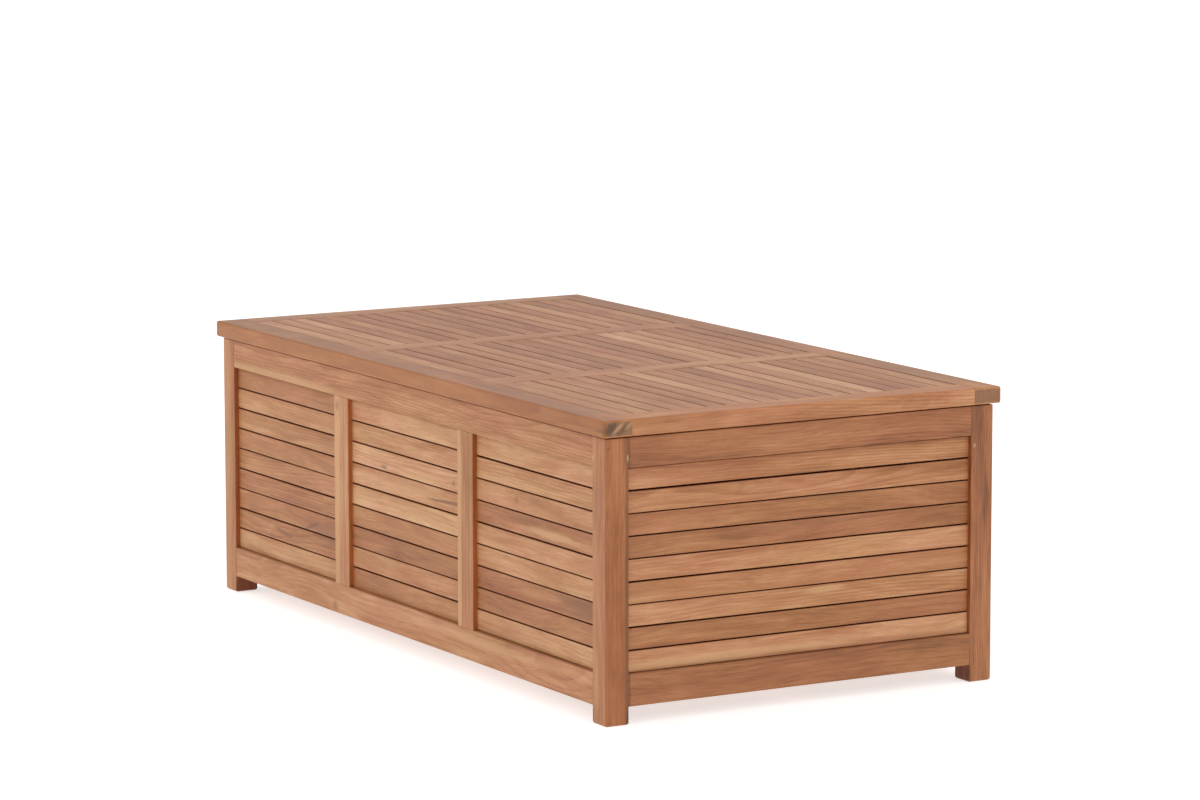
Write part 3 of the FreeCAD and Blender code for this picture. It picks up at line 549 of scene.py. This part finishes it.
def brushed_steel(name):
    """Stainless steel with fine brushed lines and a little dullness in patches."""
    finish = Finish(name)
    parts = finish.split(finish.place())
    lines = finish.stretched(parts, (60.0, 60.0, 3500.0), detail=2.0)
    patches = finish.noise(finish.place(), 45.0, 3.0)
    colour = finish.mixed(patches, (0.50, 0.49, 0.47), (0.66, 0.65, 0.62))
    colour = finish.mixed(lines * 0.35, colour, (0.36, 0.35, 0.33))
    finish.feed(finish.shader["Base Color"], colour)
    finish.shader["Metallic"].default_value = 1.0
    finish.feed(finish.shader["Roughness"], 0.26 + lines * 0.16 + patches * 0.10)
    finish.bump(lines, 0.25, 0.0001)
    return finish.material


def black_rubber(name):
    """Moulded rubber, slightly dusty."""
    finish = Finish(name)
    dust = finish.noise(finish.place(), 260.0, 4.0, 0.6)
    finish.feed(finish.shader["Base Color"], finish.mixed(dust, RUBBER, DUSTY_RUBBER))
    finish.feed(finish.shader["Roughness"], 0.62 + dust * 0.25)
    finish.bump(dust, 0.3, 0.0002)
    return finish.material


# ------------------------ pieces
AXES = {"x": Vector((1, 0, 0)), "y": Vector((0, 1, 0)), "z": Vector((0, 0, 1))}
SIDES = (("start", "finish"), ("near", "far"), ("under", "over"))


def laid(along, across):
    """The turn from a board drawn along X and across Y to its own directions on the box."""
    first, second = AXES[along], AXES[across]
    return Matrix((first, second, first.cross(second))).transposed().to_4x4()


def sizes_of(low, high, along, across):
    """A board's length, width and thickness."""
    size = high - low
    through = ({"x", "y", "z"} - {along, across}).pop()
    return [size["xyz".index(axis)] for axis in (along, across, through)]


def show(piece, node, body):
    """Puts a finished piece in the scene in place of its CAD node."""
    if piece.name not in bpy.context.scene.collection.objects:
        bpy.context.scene.collection.objects.link(piece)
    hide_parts(node)
    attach(piece, body)
    return piece


def made_plain(source, name):
    """A new object with what the modifiers of the source make, and the source removed."""
    graph = bpy.context.evaluated_depsgraph_get()
    mesh = bpy.data.meshes.new_from_object(
        source.evaluated_get(graph), preserve_all_data_layers=True, depsgraph=graph
    )
    bpy.data.objects.remove(source)
    mesh.name = name
    return bpy.data.objects.new(name, mesh)


def edge_sides(edge):
    """The names of the two sides of a block that meet in an edge."""
    first, second = (v.co for v in edge.verts)
    return {
        SIDES[i][first[i] > 0] for i in range(3) if abs(first[i] - second[i]) < HAIR
    }


def give(mesh, name, values, kind="FLOAT", domain="POINT"):
    """Gives a mesh an attribute from a flat list of its numbers."""
    attribute = mesh.attributes.new(name, kind, domain)
    attribute.data.foreach_set("vector" if kind == "FLOAT_VECTOR" else "value", values)


def flat(vectors):
    return [part for vector in vectors for part in vector]


def mark_gap_shade(piece, beside):
    """Notes which faces stand close beside another board, to get painted shade, by the way that they look.
    """
    snug = [float(beside(face.normal)) for face in piece.data.polygons]
    give(piece.data, "snug", snug, domain="FACE")


def none_beside(_way):
    return False


def sideways(way):
    return abs(way.y) > FACING


def board(node, low, high, along, across, finish, tone, rounding, body="box", beside=none_beside):
    """One planed board between two corners, its edges rounded as the rounding rule says."""
    size = sizes_of(low, high, along, across)
    shape = bmesh.new()
    bmesh.ops.create_cube(shape, size=1.0, matrix=Matrix.Diagonal((*size, 1.0)))
    weights = shape.edges.layers.float.new("bevel_weight_edge")
    widest = max(rounding(edge_sides(e)) for e in shape.edges)
    for edge in shape.edges:
        edge[weights] = rounding(edge_sides(edge)) / widest
    mesh = bpy.data.meshes.new(node)
    shape.to_mesh(mesh)
    shape.free()
    for face in mesh.polygons:
        face.use_smooth = True
    source = bpy.data.objects.new(node, mesh)
    bpy.context.scene.collection.objects.link(source)
    bevel = source.modifiers.new("rounding", "BEVEL")
    bevel.limit_method = "WEIGHT"
    bevel.width = widest
    bevel.segments = ROUNDING_STEPS
    source.modifiers.new("flat faces", "WEIGHTED_NORMAL")
    piece = made_plain(source, "teak_" + node)

    mark_gap_shade(piece, beside)
    chance = random.Random(node)
    turn = chance.uniform(0, 2 * math.pi)
    distance = chance.uniform(*BOARD_FROM_HEART)
    start = chance.uniform(0, LOG_LENGTH)
    shift = Vector((start, distance * math.cos(turn), distance * math.sin(turn)))
    points = [v.co.copy() for v in piece.data.vertices]
    end = size[0] / 2 - END_DEPTH
    give(piece.data, "grain", flat(p + shift for p in points), "FLOAT_VECTOR")
    give(piece.data, "reach", [2 * p[i] / size[i] for p in points for i in range(3)], "FLOAT_VECTOR")
    give(piece.data, "tone", [tone] * len(points))
    give(piece.data, "end_grain", [float(abs(p.x) > end) for p in points])

    place = Matrix.Translation((low + high) / 2) @ laid(along, across)
    piece.data.transform(place)
    piece.data.materials.clear()
    piece.data.materials.append(finish)
    return show(piece, node, body)


# ------------------------ rows of slats
ROW_INPUTS = {
    "Boards": "NodeSocketInt",
    "Pitch": "NodeSocketFloat",
    "Length": "NodeSocketFloat",
    "Width": "NodeSocketFloat",
    "Thickness": "NodeSocketFloat",
    "Eased edge": "NodeSocketFloat",
    "Looseness": "NodeSocketFloat",
    "Seed": "NodeSocketInt",
    "Finish": "NodeSocketMaterial",
}


def new_tree(name, inputs):
    group = bpy.data.node_groups.new(name, "GeometryNodeTree")
    for socket_name, kind in inputs.items():
        group.interface.new_socket(socket_name, in_out="INPUT", socket_type=kind)
    group.interface.new_socket("Pieces", in_out="OUTPUT", socket_type="NodeSocketGeometry")
    return Nodes(group)


def stored(nodes, geometry, name, value, domain="POINT", kind="FLOAT_VECTOR"):
    settings = {"data_type": kind, "domain": domain}
    values = {"Geometry": geometry, "Name": name, "Value": value}
    return nodes.node("GeometryNodeStoreNamedAttribute", settings, values)


def chance_vector(nodes, low, high, seed):
    settings = {"data_type": "FLOAT_VECTOR"}
    return nodes.node("FunctionNodeRandomValue", settings, {0: low, 1: high, 8: seed})


def row_tree():
    """A row of slats side by side along Y, each a little out of true."""
    nodes = new_tree("row of slats", ROW_INPUTS)
    given = nodes.tree.nodes.new("NodeGroupInput").outputs
    size = {name: Value(nodes, given[name]) for name in ROW_INPUTS}
    half = size["Length"] / 2
    span = nodes.node(
        "GeometryNodeCurvePrimitiveLine",
        {"mode": "POINTS"},
        {"Start": nodes.joined(half * -1, 0, 0), "End": nodes.joined(half, 0, 0)},
    )
    outline = nodes.node(
        "GeometryNodeCurvePrimitiveQuadrilateral",
        {"mode": "RECTANGLE"},
        {"Width": size["Width"], "Height": size["Thickness"]},
    )
    rounded = nodes.node(
        "GeometryNodeFilletCurve",
        {"mode": "POLY"},
        {"Curve": outline, "Count": SLAT_ROUNDING_STEPS, "Radius": size["Eased edge"]},
    )
    slat = nodes.node(
        "GeometryNodeCurveToMesh",
        None,
        {"Curve": span, "Profile Curve": rounded, "Fill Caps": True},
    )
    place = nodes.node("GeometryNodeInputPosition")
    box = nodes.joined(half, size["Width"] / 2, size["Thickness"] / 2)
    slat = stored(nodes, slat, "grain", place)
    slat = stored(nodes, slat, "reach", nodes.vector("DIVIDE", place, box))

    first = (size["Boards"] - 1) * size["Pitch"] * -0.5
    line = nodes.node(
        "GeometryNodeMeshLine",
        {"mode": "OFFSET"},
        {
            "Count": size["Boards"],
            "Start Location": nodes.joined(0, first, 0),
            "Offset": nodes.joined(0, size["Pitch"], 0),
        },
    )
    loose = size["Looseness"]
    least = nodes.joined(0, loose * -1, loose * -0.5)
    most = nodes.joined(0, loose, loose * 0.5)
    nudge = chance_vector(nodes, least, most, size["Seed"])
    line = nodes.node("GeometryNodeSetPosition", None, {"Geometry": line, "Offset": nudge})
    tilt = chance_vector(nodes, [-turn for turn in SLAT_TILT], SLAT_TILT, size["Seed"] + 1)
    rows = nodes.node(
        "GeometryNodeInstanceOnPoints",
        None,
        {
            "Points": line,
            "Instance": slat,
            "Rotation": nodes.node("FunctionNodeEulerToRotation", None, {0: tilt}),
        },
    )
    least = (0, -SLAT_FROM_HEART, -SLAT_FROM_HEART)
    most = (LOG_LENGTH, SLAT_FROM_HEART, SLAT_FROM_HEART)
    heart = chance_vector(nodes, least, most, size["Seed"] + 2)
    rows = stored(nodes, rows, "heart", heart, "INSTANCE")
    index = nodes.node("GeometryNodeInputIndex")
    rows = stored(nodes, rows, "row", index, "INSTANCE", "INT")
    whole = nodes.node("GeometryNodeRealizeInstances", None, {"Geometry": rows})
    named = [
        nodes.node("GeometryNodeInputNamedAttribute", {"data_type": "FLOAT_VECTOR"}, {"Name": name})
        for name in ("grain", "heart")
    ]
    whole = stored(nodes, whole, "grain", nodes.vector("ADD", *named))
    values = {"Geometry": whole, "Material": size["Finish"]}
    whole = nodes.node("GeometryNodeSetMaterial", None, values)
    nodes.feed(nodes.tree.nodes.new("NodeGroupOutput").inputs["Pieces"], whole)
    return nodes.tree


def grown_from(tree, name, values, points=None):
    """What a tree of nodes makes with these inputs, as a plain object."""
    source = bpy.data.objects.new(name, points or bpy.data.meshes.new(name))
    bpy.context.scene.collection.objects.link(source)
    modifier = source.modifiers.new("maker", "NODES")
    modifier.node_group = tree
    for item in tree.interface.items_tree:
        if item.in_out == "INPUT" and item.name in values:
            modifier[item.identifier] = values[item.name]
    return made_plain(source, name)


def slat_row(node, count, width, along, across, finish, body="box"):
    """All the slats of one bay, laid in the space that their CAD solids take."""
    low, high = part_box(node)
    length, span, thickness = sizes_of(low, high, along, across)
    values = {
        "Boards": count,
        "Pitch": (span - width) / (count - 1),
        "Length": length,
        "Width": width,
        "Thickness": thickness,
        "Eased edge": EASED,
        "Looseness": LOOSE_SLAT,
        "Seed": sum(map(ord, node)) % 997,
        "Finish": finish,
    }
    piece = grown_from(row_tree_made, "teak_" + node, values)
    # painted shade on the long edges of the slats, where they stand beside each other
    mark_gap_shade(piece, sideways)
    chance = random.Random(node)
    laid_tones = LAID_TONES.get(node) or [chance.choice(PILE) for _ in range(count)]
    rows = [0] * len(piece.data.vertices)
    piece.data.attributes["row"].data.foreach_get("value", rows)
    give(piece.data, "tone", [tone_of(int(laid_tones[row])) for row in rows])
    for spare in ("row", "heart"):
        piece.data.attributes.remove(piece.data.attributes[spare])
    if across == "z":
        for vertex, row in zip(piece.data.vertices, rows):
            vertex.co.y -= SETTLED * (1 - row / (count - 1))
    piece.data.transform(Matrix.Translation((low + high) / 2) @ laid(along, across))
    return show(piece, node, body)


def tone_of(digit):
    """The share of the way from dark to pale wood for a digit of a laid row."""
    return MIDDLE_TONE + (digit - 5) * TONE_STEP


# ------------------------ pegs and screws
def separate_boxes(node):
    """The corners of each separate solid in a CAD node."""
    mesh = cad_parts[node].data
    shape = bmesh.new()
    shape.from_mesh(mesh)
    bmesh.ops.remove_doubles(shape, verts=shape.verts, dist=HAIR)
    waiting = set(shape.verts)
    found = []
    while waiting:
        reached = {waiting.pop()}
        edge = list(reached)
        while edge:
            near = {e.other_vert(v) for v in edge for e in v.link_edges} & waiting
            waiting -= near
            reached |= near
            edge = list(near)
        corners = [Vector(map(pick, zip(*(v.co for v in reached)))) for pick in (min, max)]
        found.append(corners)
    shape.free()
    return sorted(found, key=lambda box: tuple(round(c, 5) for c in box[0]))


def lathe(profile, sides):
    """A closed round shape from its profile of heights and radii, turned about Z."""
    shape = bmesh.new()
    rings = []
    for height, radius in profile:
        turns = [2 * math.pi * i / sides for i in range(sides)]
        ring = [(radius * math.cos(turn), radius * math.sin(turn), height) for turn in turns]
        rings.append([shape.verts.new(place) for place in ring])
    for lower, upper in zip(rings, rings[1:]):
        for i in range(sides):
            j = (i + 1) % sides
            shape.faces.new((lower[i], lower[j], upper[j], upper[i]))
    shape.faces.new(reversed(rings[0]))
    shape.faces.new(rings[-1])
    return shape


def template(name, shape):
    bmesh.ops.recalc_face_normals(shape, faces=shape.faces)
    mesh = bpy.data.meshes.new(name)
    shape.to_mesh(mesh)
    shape.free()
    return bpy.data.objects.new(name, mesh)


def screw_template(head, shank, length):
    """A countersunk screw with a cross recess, its head at the origin and its tip up Z."""
    arm, half = head * 0.30, head * 0.075
    neck = (head * 0.27, shank / 2)
    shoulder = (length * 0.8, shank / 2)
    shape = lathe([(0, head / 2), neck, shoulder, (length, shank * 0.1)], SCREW_SIDES)
    shape.faces.ensure_lookup_table()
    lid = min(shape.faces, key=lambda f: f.calc_center_median().z)
    rim = sorted(lid.verts, key=lambda v: math.atan2(v.co.y, v.co.x) % (2 * math.pi))
    bmesh.ops.delete(shape, geom=[lid], context="FACES_ONLY")
    quarter = [(arm, half), (half, half), (half, arm)]
    cross = []
    for turn in range(4):
        c, s = round(math.cos(turn * math.pi / 2)), round(math.sin(turn * math.pi / 2))
        cross += [(c * x - s * y, s * x + c * y) for x, y in quarter]
    top = [shape.verts.new((x, y, 0)) for x, y in cross]
    floor = [shape.verts.new((x * 0.6, y * 0.6, SCREW_RECESS)) for x, y in cross]
    for i in range(SCREW_SIDES):
        j = (i + 1) % SCREW_SIDES
        shape.faces.new((rim[i], rim[j], top[j], top[i]))
        shape.faces.new((top[i], top[j], floor[j], floor[i]))
    shape.faces.new(floor)
    return template("screw", shape)


def peg_template(radius, length):
    """A round peg with a slightly domed and eased visible end at the origin."""
    ease = radius * 0.12
    profile = [(-PEG_DOME, radius * 0.5), (0, radius - ease), (ease, radius), (length, radius)]
    return template("peg", lathe(profile, PEG_SIDES))


PLACED_INPUTS = {
    "Places": "NodeSocketGeometry",
    "Shape": "NodeSocketObject",
    "Seed": "NodeSocketInt",
    "Finish": "NodeSocketMaterial",
}


def placed_tree():
    """One shape set at each point, facing the way the point faces, with a chance turn."""
    nodes = new_tree("set at places", PLACED_INPUTS)
    given = nodes.tree.nodes.new("NodeGroupInput").outputs
    shape = nodes.node("GeometryNodeObjectInfo", None, {"Object": Value(nodes, given["Shape"])}, 4)
    vectors = {"data_type": "FLOAT_VECTOR"}
    inward = nodes.node("GeometryNodeInputNamedAttribute", vectors, {"Name": "inward"})
    values = {2: 0.0, 3: ANY_TURN, 8: Value(nodes, given["Seed"])}
    twist = nodes.node("FunctionNodeRandomValue", {"data_type": "FLOAT"}, values, 1)
    spun = nodes.node("FunctionNodeEulerToRotation", None, {0: nodes.joined(0, 0, twist)})
    values = {"Rotation": spun, "Vector": inward}
    aimed = nodes.node("FunctionNodeAlignRotationToVector", {"axis": "Z"}, values)
    placed = nodes.node(
        "GeometryNodeInstanceOnPoints",
        None,
        {"Points": Value(nodes, given["Places"]), "Instance": shape, "Rotation": aimed},
    )
    offset = nodes.vector("MULTIPLY", nodes.node("GeometryNodeInputIndex"), FROM_PEG_TO_PEG)
    placed = stored(nodes, placed, "shift", offset, "INSTANCE")
    whole = nodes.node("GeometryNodeRealizeInstances", None, {"Geometry": placed})
    values = {"Geometry": whole, "Material": Value(nodes, given["Finish"])}
    whole = nodes.node("GeometryNodeSetMaterial", None, values)
    nodes.feed(nodes.tree.nodes.new("NodeGroupOutput").inputs["Pieces"], whole)
    return nodes.tree


def set_at(node, name, shape, places, finish, body):
    """Copies of a shape at places, each a point and the way inward from it."""
    points = bpy.data.meshes.new(name)
    points.from_pydata([place for place, _ in places], [], [])
    give(points, "inward", flat(way for _, way in places), "FLOAT_VECTOR")
    values = {"Shape": shape, "Seed": len(places), "Finish": finish}
    piece = grown_from(placed_tree_made, name, values, points)
    bpy.data.objects.remove(shape)
    return show(piece, node, body)


def long_axis(low, high):
    """The index of the longest side of a box."""
    size = high - low
    return max(range(3), key=lambda i: size[i])


def end_place(low, high, axis, at_low):
    """The middle of one end of a box, and the way inward from it."""
    end = (low + high) / 2
    end[axis] = low[axis] if at_low else high[axis]
    way = Vector((0, 0, 0))
    way[axis] = 1 if at_low else -1
    return end, way


def screw_places(node):
    """Each screw's head and direction, then the width and length that they all have."""
    points = [v.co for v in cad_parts[node].data.vertices]
    places = []
    for low, high in separate_boxes(node):
        axis = long_axis(low, high)
        others = [i for i in range(3) if i != axis]
        radius = max((high - low)[i] for i in others) / 2
        middle = (low + high) / 2
        head_end = low[axis]
        for point in points:
            inside = all(low[i] - HAIR <= point[i] <= high[i] + HAIR for i in range(3))
            away = math.hypot(*(point[i] - middle[i] for i in others))
            if inside and away > radius * HEAD_SHARE:
                head_end = point[axis]
                break
        at_low = abs(head_end - low[axis]) < abs(head_end - high[axis])
        places.append(end_place(low, high, axis, at_low))
    return places, 2 * radius, (high - low)[axis]


def peg_places(node, towards):
    """Each peg's end nearest to a point and its direction, then their radius and length."""
    places = []
    for low, high in separate_boxes(node):
        axis = long_axis(low, high)
        at_low = abs(low[axis] - towards[axis]) < abs(high[axis] - towards[axis])
        places.append(end_place(low, high, axis, at_low))
    return places, min(high - low) / 2, (high - low)[axis]


def grained(piece, tone):
    """Gives pegs the attributes that the teak finish reads, each with its own heart."""
    points = [v.co.copy() for v in piece.data.vertices]
    count = len(points)
    shifts = [0.0] * (3 * count)
    piece.data.attributes["shift"].data.foreach_get("vector", shifts)
    turned = flat((p.z, p.x, p.y) for p in points)
    moved = [place + shift for place, shift in zip(turned, shifts)]
    give(piece.data, "grain", moved, "FLOAT_VECTOR")
    give(piece.data, "reach", [0.0] * (3 * count), "FLOAT_VECTOR")
    give(piece.data, "tone", [tone] * count)
    give(piece.data, "end_grain", [1.0] * count)
    mark_gap_shade(piece, none_beside)


# ------------------------ the box
def eased_all(_sides):
    return EASED


def post_rounding(sides):
    return FOOT_ROUND if "start" in sides else EASED


def rail_rounding(sides):
    return JOINT_EASED if sides & {"start", "finish"} else EASED


def towards_middle(across, through):
    """Picks the two faces of a post that look along the walls, towards the next post, for painted shade."""

    def beside(way):
        return max(way.y * across, way.z * through) > FACING

    return beside


def make_posts(finish):
    for wall, through in (("front", 1), ("back", -1)):
        for side, across in (("left", 1), ("right", -1)):
            node = f"post_{wall}_{side}"
            low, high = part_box(node)
            beside = towards_middle(across, through)
            tone = POST_TONES[node]
            board(node, low, high, "z", "x", finish, tone, post_rounding, beside=beside)


def make_rails(finish):
    """Rails run from post to post, set back a hair from the faces of the posts."""
    inner_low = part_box("post_front_left")[1]
    inner_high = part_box("post_back_right")[0]
    for wall, along in (("front", "x"), ("back", "x"), ("left", "y"), ("right", "y")):
        for level in ("top", "bottom"):
            node = f"{level}_rail_{wall}"
            low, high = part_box(node)
            i = "xyz".index(along)
            low[i], high[i] = inner_low[i], inner_high[i]
            out = 1 - i
            if wall in ("front", "left"):
                low[out] += REVEAL
            else:
                high[out] -= REVEAL
            board(node, low, high, along, "z", finish, RAIL_TONES[node], rail_rounding)


def make_mullions(finish):
    for wall in ("front", "back"):
        for side in ("left", "right"):
            node = f"mullion_{wall}_{side}"
            low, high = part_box(node)
            low.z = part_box(f"bottom_rail_{wall}")[1].z
            high.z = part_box(f"top_rail_{wall}")[0].z
            if wall == "front":
                low.y += REVEAL
            else:
                high.y -= REVEAL
            tone = MULLION_TONES[side]
            board(node, low, high, "z", "x", finish, tone, rail_rounding, beside=sideways)


def make_wall_slats(finish):
    for wall, along, bays in (
        ("front", "x", ("left", "middle", "right")),
        ("back", "x", ("left", "middle", "right")),
        ("left", "y", ("end",)),
        ("right", "y", ("end",)),
    ):
        for bay in bays:
            node = f"slats_{wall}_{bay}"
            slat_row(node, WALL_SLATS, WALL_SLAT_WIDTH, along, "z", finish)


def make_floor(finish):
    slat_row("floor_slats", FLOOR_SLATS, FLOOR_SLAT_WIDTH, "y", "x", finish)
    for node, along, across in (
        ("floor_cleat_front", "x", "z"),
        ("floor_cleat_back", "x", "z"),
        ("floor_bearer", "x", "y"),
    ):
        low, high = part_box(node)
        board(node, low, high, along, across, finish, FLOOR_TONE, eased_all)


def lid_rounding(outer, inner):
    """Rounds the outer edges of the lid, and only eases those between its own boards."""

    def rounding(sides):
        if sides & inner:
            return JOINT_EASED
        return LID_ROUND if sides & outer else EASED

    return rounding


def make_lid(finishes):
    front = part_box("lid_rail_front")[1].y
    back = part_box("lid_rail_back")[0].y
    ends = {"start", "finish"}
    finish = finishes["lid"]
    for node, along, across, outer, inner in (
        ("lid_rail_front", "x", "y", ends | {"near"}, {"far"}),
        ("lid_rail_back", "x", "y", ends | {"far"}, {"near"}),
        ("lid_end_rail_left", "y", "x", {"near"}, ends | {"far"}),
        ("lid_end_rail_right", "y", "x", {"far"}, ends | {"near"}),
        ("lid_cross_rail_left", "y", "x", set(), ends),
        ("lid_cross_rail_right", "y", "x", set(), ends),
    ):
        low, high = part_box(node)
        if along == "y":
            low.y, high.y = front, back
        rounding = lid_rounding(outer, inner)
        board(node, low, high, along, across, finish, LID_TONES[node], rounding, "lid")
    finish = finishes["lid_slats"]
    for bay in ("left", "middle", "right"):
        node = f"lid_slats_{bay}"
        slat_row(node, LID_SLATS, LID_SLAT_WIDTH, "x", "y", finish, "lid")


def make_pegs(finish):
    for node, body, towards in (
        ("frame_pegs", "box", Vector((0, 0, 0))),
        ("lid_pegs", "lid", Vector((0, 0, -1))),
    ):
        places, radius, length = peg_places(node, towards)
        shape = peg_template(radius, length)
        piece = set_at(node, "teak_" + node, shape, places, finish, body)
        grained(piece, PEG_TONE)


def make_screws(finish):
    for node, body in (
        ("floor_screws", "box"),
        ("hardware_screws_body", "box"),
        ("hardware_screws_lid", "lid"),
    ):
        places, head, length = screw_places(node)
        shape = screw_template(head, head / 2, length)
        set_at(node, "steel_" + node, shape, places, finish, body)


def finish_fittings(steel, rubber):
    """Hinges, stays and bumpers keep their own shapes and get their finishes."""
    for node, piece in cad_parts.items():
        metal = node.startswith(("hinge_leaf", "hinge_pins", "stay_"))
        if metal or node == "lid_bumpers":
            finish = steel if metal else rubber
            if not piece.material_slots:
                piece.data.materials.append(finish)
            for material_slot in piece.material_slots:
                material_slot.material = finish


# ------------------------ studio
CAMERA_PLACE = (7.7254, -4.4446, 1.7657)
CAMERA_LENS = 145.845
CAMERA_ROUND = math.radians(59.9627)
CAMERA_DOWN = math.radians(8.4747)
CAMERA_ROLL = math.radians(-0.0776)
SENSOR = 36.0                # in millimetres, as the lens is
FLOOR_REACH = 60.0
FLOOR_GREY = (0.70, 0.70, 0.70, 1.0)
FLOOR_GLOW = 0.62
SKY_STRENGTH = 0.78
WHITE = (1.0, 1.0, 1.0, 1.0)
LIT_PLACE = (0.0, 0.0, 0.25)
# Each softbox's place, width and height, watts and colour.
SOFTBOXES = {
    "front softbox": ((-2.6, -5.2, 3.4), (3.4, 2.4), 60.0, (1.0, 0.985, 0.97)),
    "side softbox": ((5.4, 1.2, 3.0), (3.0, 2.4), 41.0, (1.0, 0.90, 0.84)),
}


def place_camera():
    lens = bpy.data.cameras.new("camera")
    lens.lens = CAMERA_LENS
    lens.sensor_width = SENSOR
    camera = bpy.data.objects.new("camera", lens)
    aim = Matrix.Rotation(CAMERA_ROUND, 4, "Z") @ Matrix.Rotation(math.pi / 2 - CAMERA_DOWN, 4, "X")
    aim = aim @ Matrix.Rotation(CAMERA_ROLL, 4, "Z")
    camera.matrix_world = Matrix.Translation(CAMERA_PLACE) @ aim
    bpy.context.scene.collection.objects.link(camera)
    bpy.context.scene.camera = camera


def place_floor():
    """A pale floor, large enough to fill the view."""
    shape = bmesh.new()
    bmesh.ops.create_grid(shape, x_segments=1, y_segments=1, size=FLOOR_REACH)
    mesh = bpy.data.meshes.new("floor")
    shape.to_mesh(mesh)
    shape.free()
    floor = bpy.data.objects.new("studio_floor", mesh)
    bpy.context.scene.collection.objects.link(floor)
    finish = Finish("studio floor")
    finish.shader["Base Color"].default_value = FLOOR_GREY
    finish.shader["Roughness"].default_value = 0.9
    finish.shader["Specular IOR Level"].default_value = 0.1
    finish.shader["Emission Color"].default_value = WHITE
    finish.shader["Emission Strength"].default_value = FLOOR_GLOW
    mesh.materials.append(finish.material)


def soft_light(name, place, size, watts, colour):
    light = bpy.data.lights.new(name, "AREA")
    light.shape = "RECTANGLE"
    light.size, light.size_y = size
    light.energy = watts
    light.color = colour
    lamp = bpy.data.objects.new(name, light)
    way = Vector(LIT_PLACE) - Vector(place)
    aim = way.to_track_quat("-Z", "Y").to_matrix().to_4x4()
    lamp.matrix_world = Matrix.Translation(place) @ aim
    bpy.context.scene.collection.objects.link(lamp)


def light_studio():
    world = bpy.data.worlds.new("studio")
    world.use_nodes = True
    sky = world.node_tree.nodes["Background"].inputs
    sky["Color"].default_value = WHITE
    sky["Strength"].default_value = SKY_STRENGTH
    bpy.context.scene.world = world
    for name, settings in SOFTBOXES.items():
        soft_light(name, *settings)
    bpy.context.scene.view_settings.view_transform = "Standard"
    bpy.context.scene.view_settings.look = "None"


# ------------------------ put together
row_tree_made = row_tree()
placed_tree_made = placed_tree()
teaks = {
    "posts": teak("post teak", marks=POST_MARKS, beside=FRAME_SHADE_CAST),
    "mullions": teak("mullion teak", marks=MULLION_MARKS, beside=FRAME_SHADE_CAST),
    "rails": teak("rail teak", marks=RAIL_MARKS),
    "slats": teak("slat teak", marks=SLAT_MARKS),
    "lid": teak("lid frame teak", roughness=0.46, marks=LID_MARKS),
    "lid_slats": teak("lid slat teak", roughness=0.46, marks=LID_SLAT_MARKS),
}
floor_teak = teak("floor teak", roughness=0.66)
peg_teak = teak("peg teak", roughness=0.62)
steel = brushed_steel("brushed stainless steel")
rubber = black_rubber("black rubber")

make_posts(teaks["posts"])
make_rails(teaks["rails"])
make_mullions(teaks["mullions"])
make_wall_slats(teaks["slats"])
make_floor(floor_teak)
make_lid(teaks)
make_pegs(peg_teak)
make_screws(steel)
finish_fittings(steel, rubber)
place_camera()
place_floor()
light_studio()
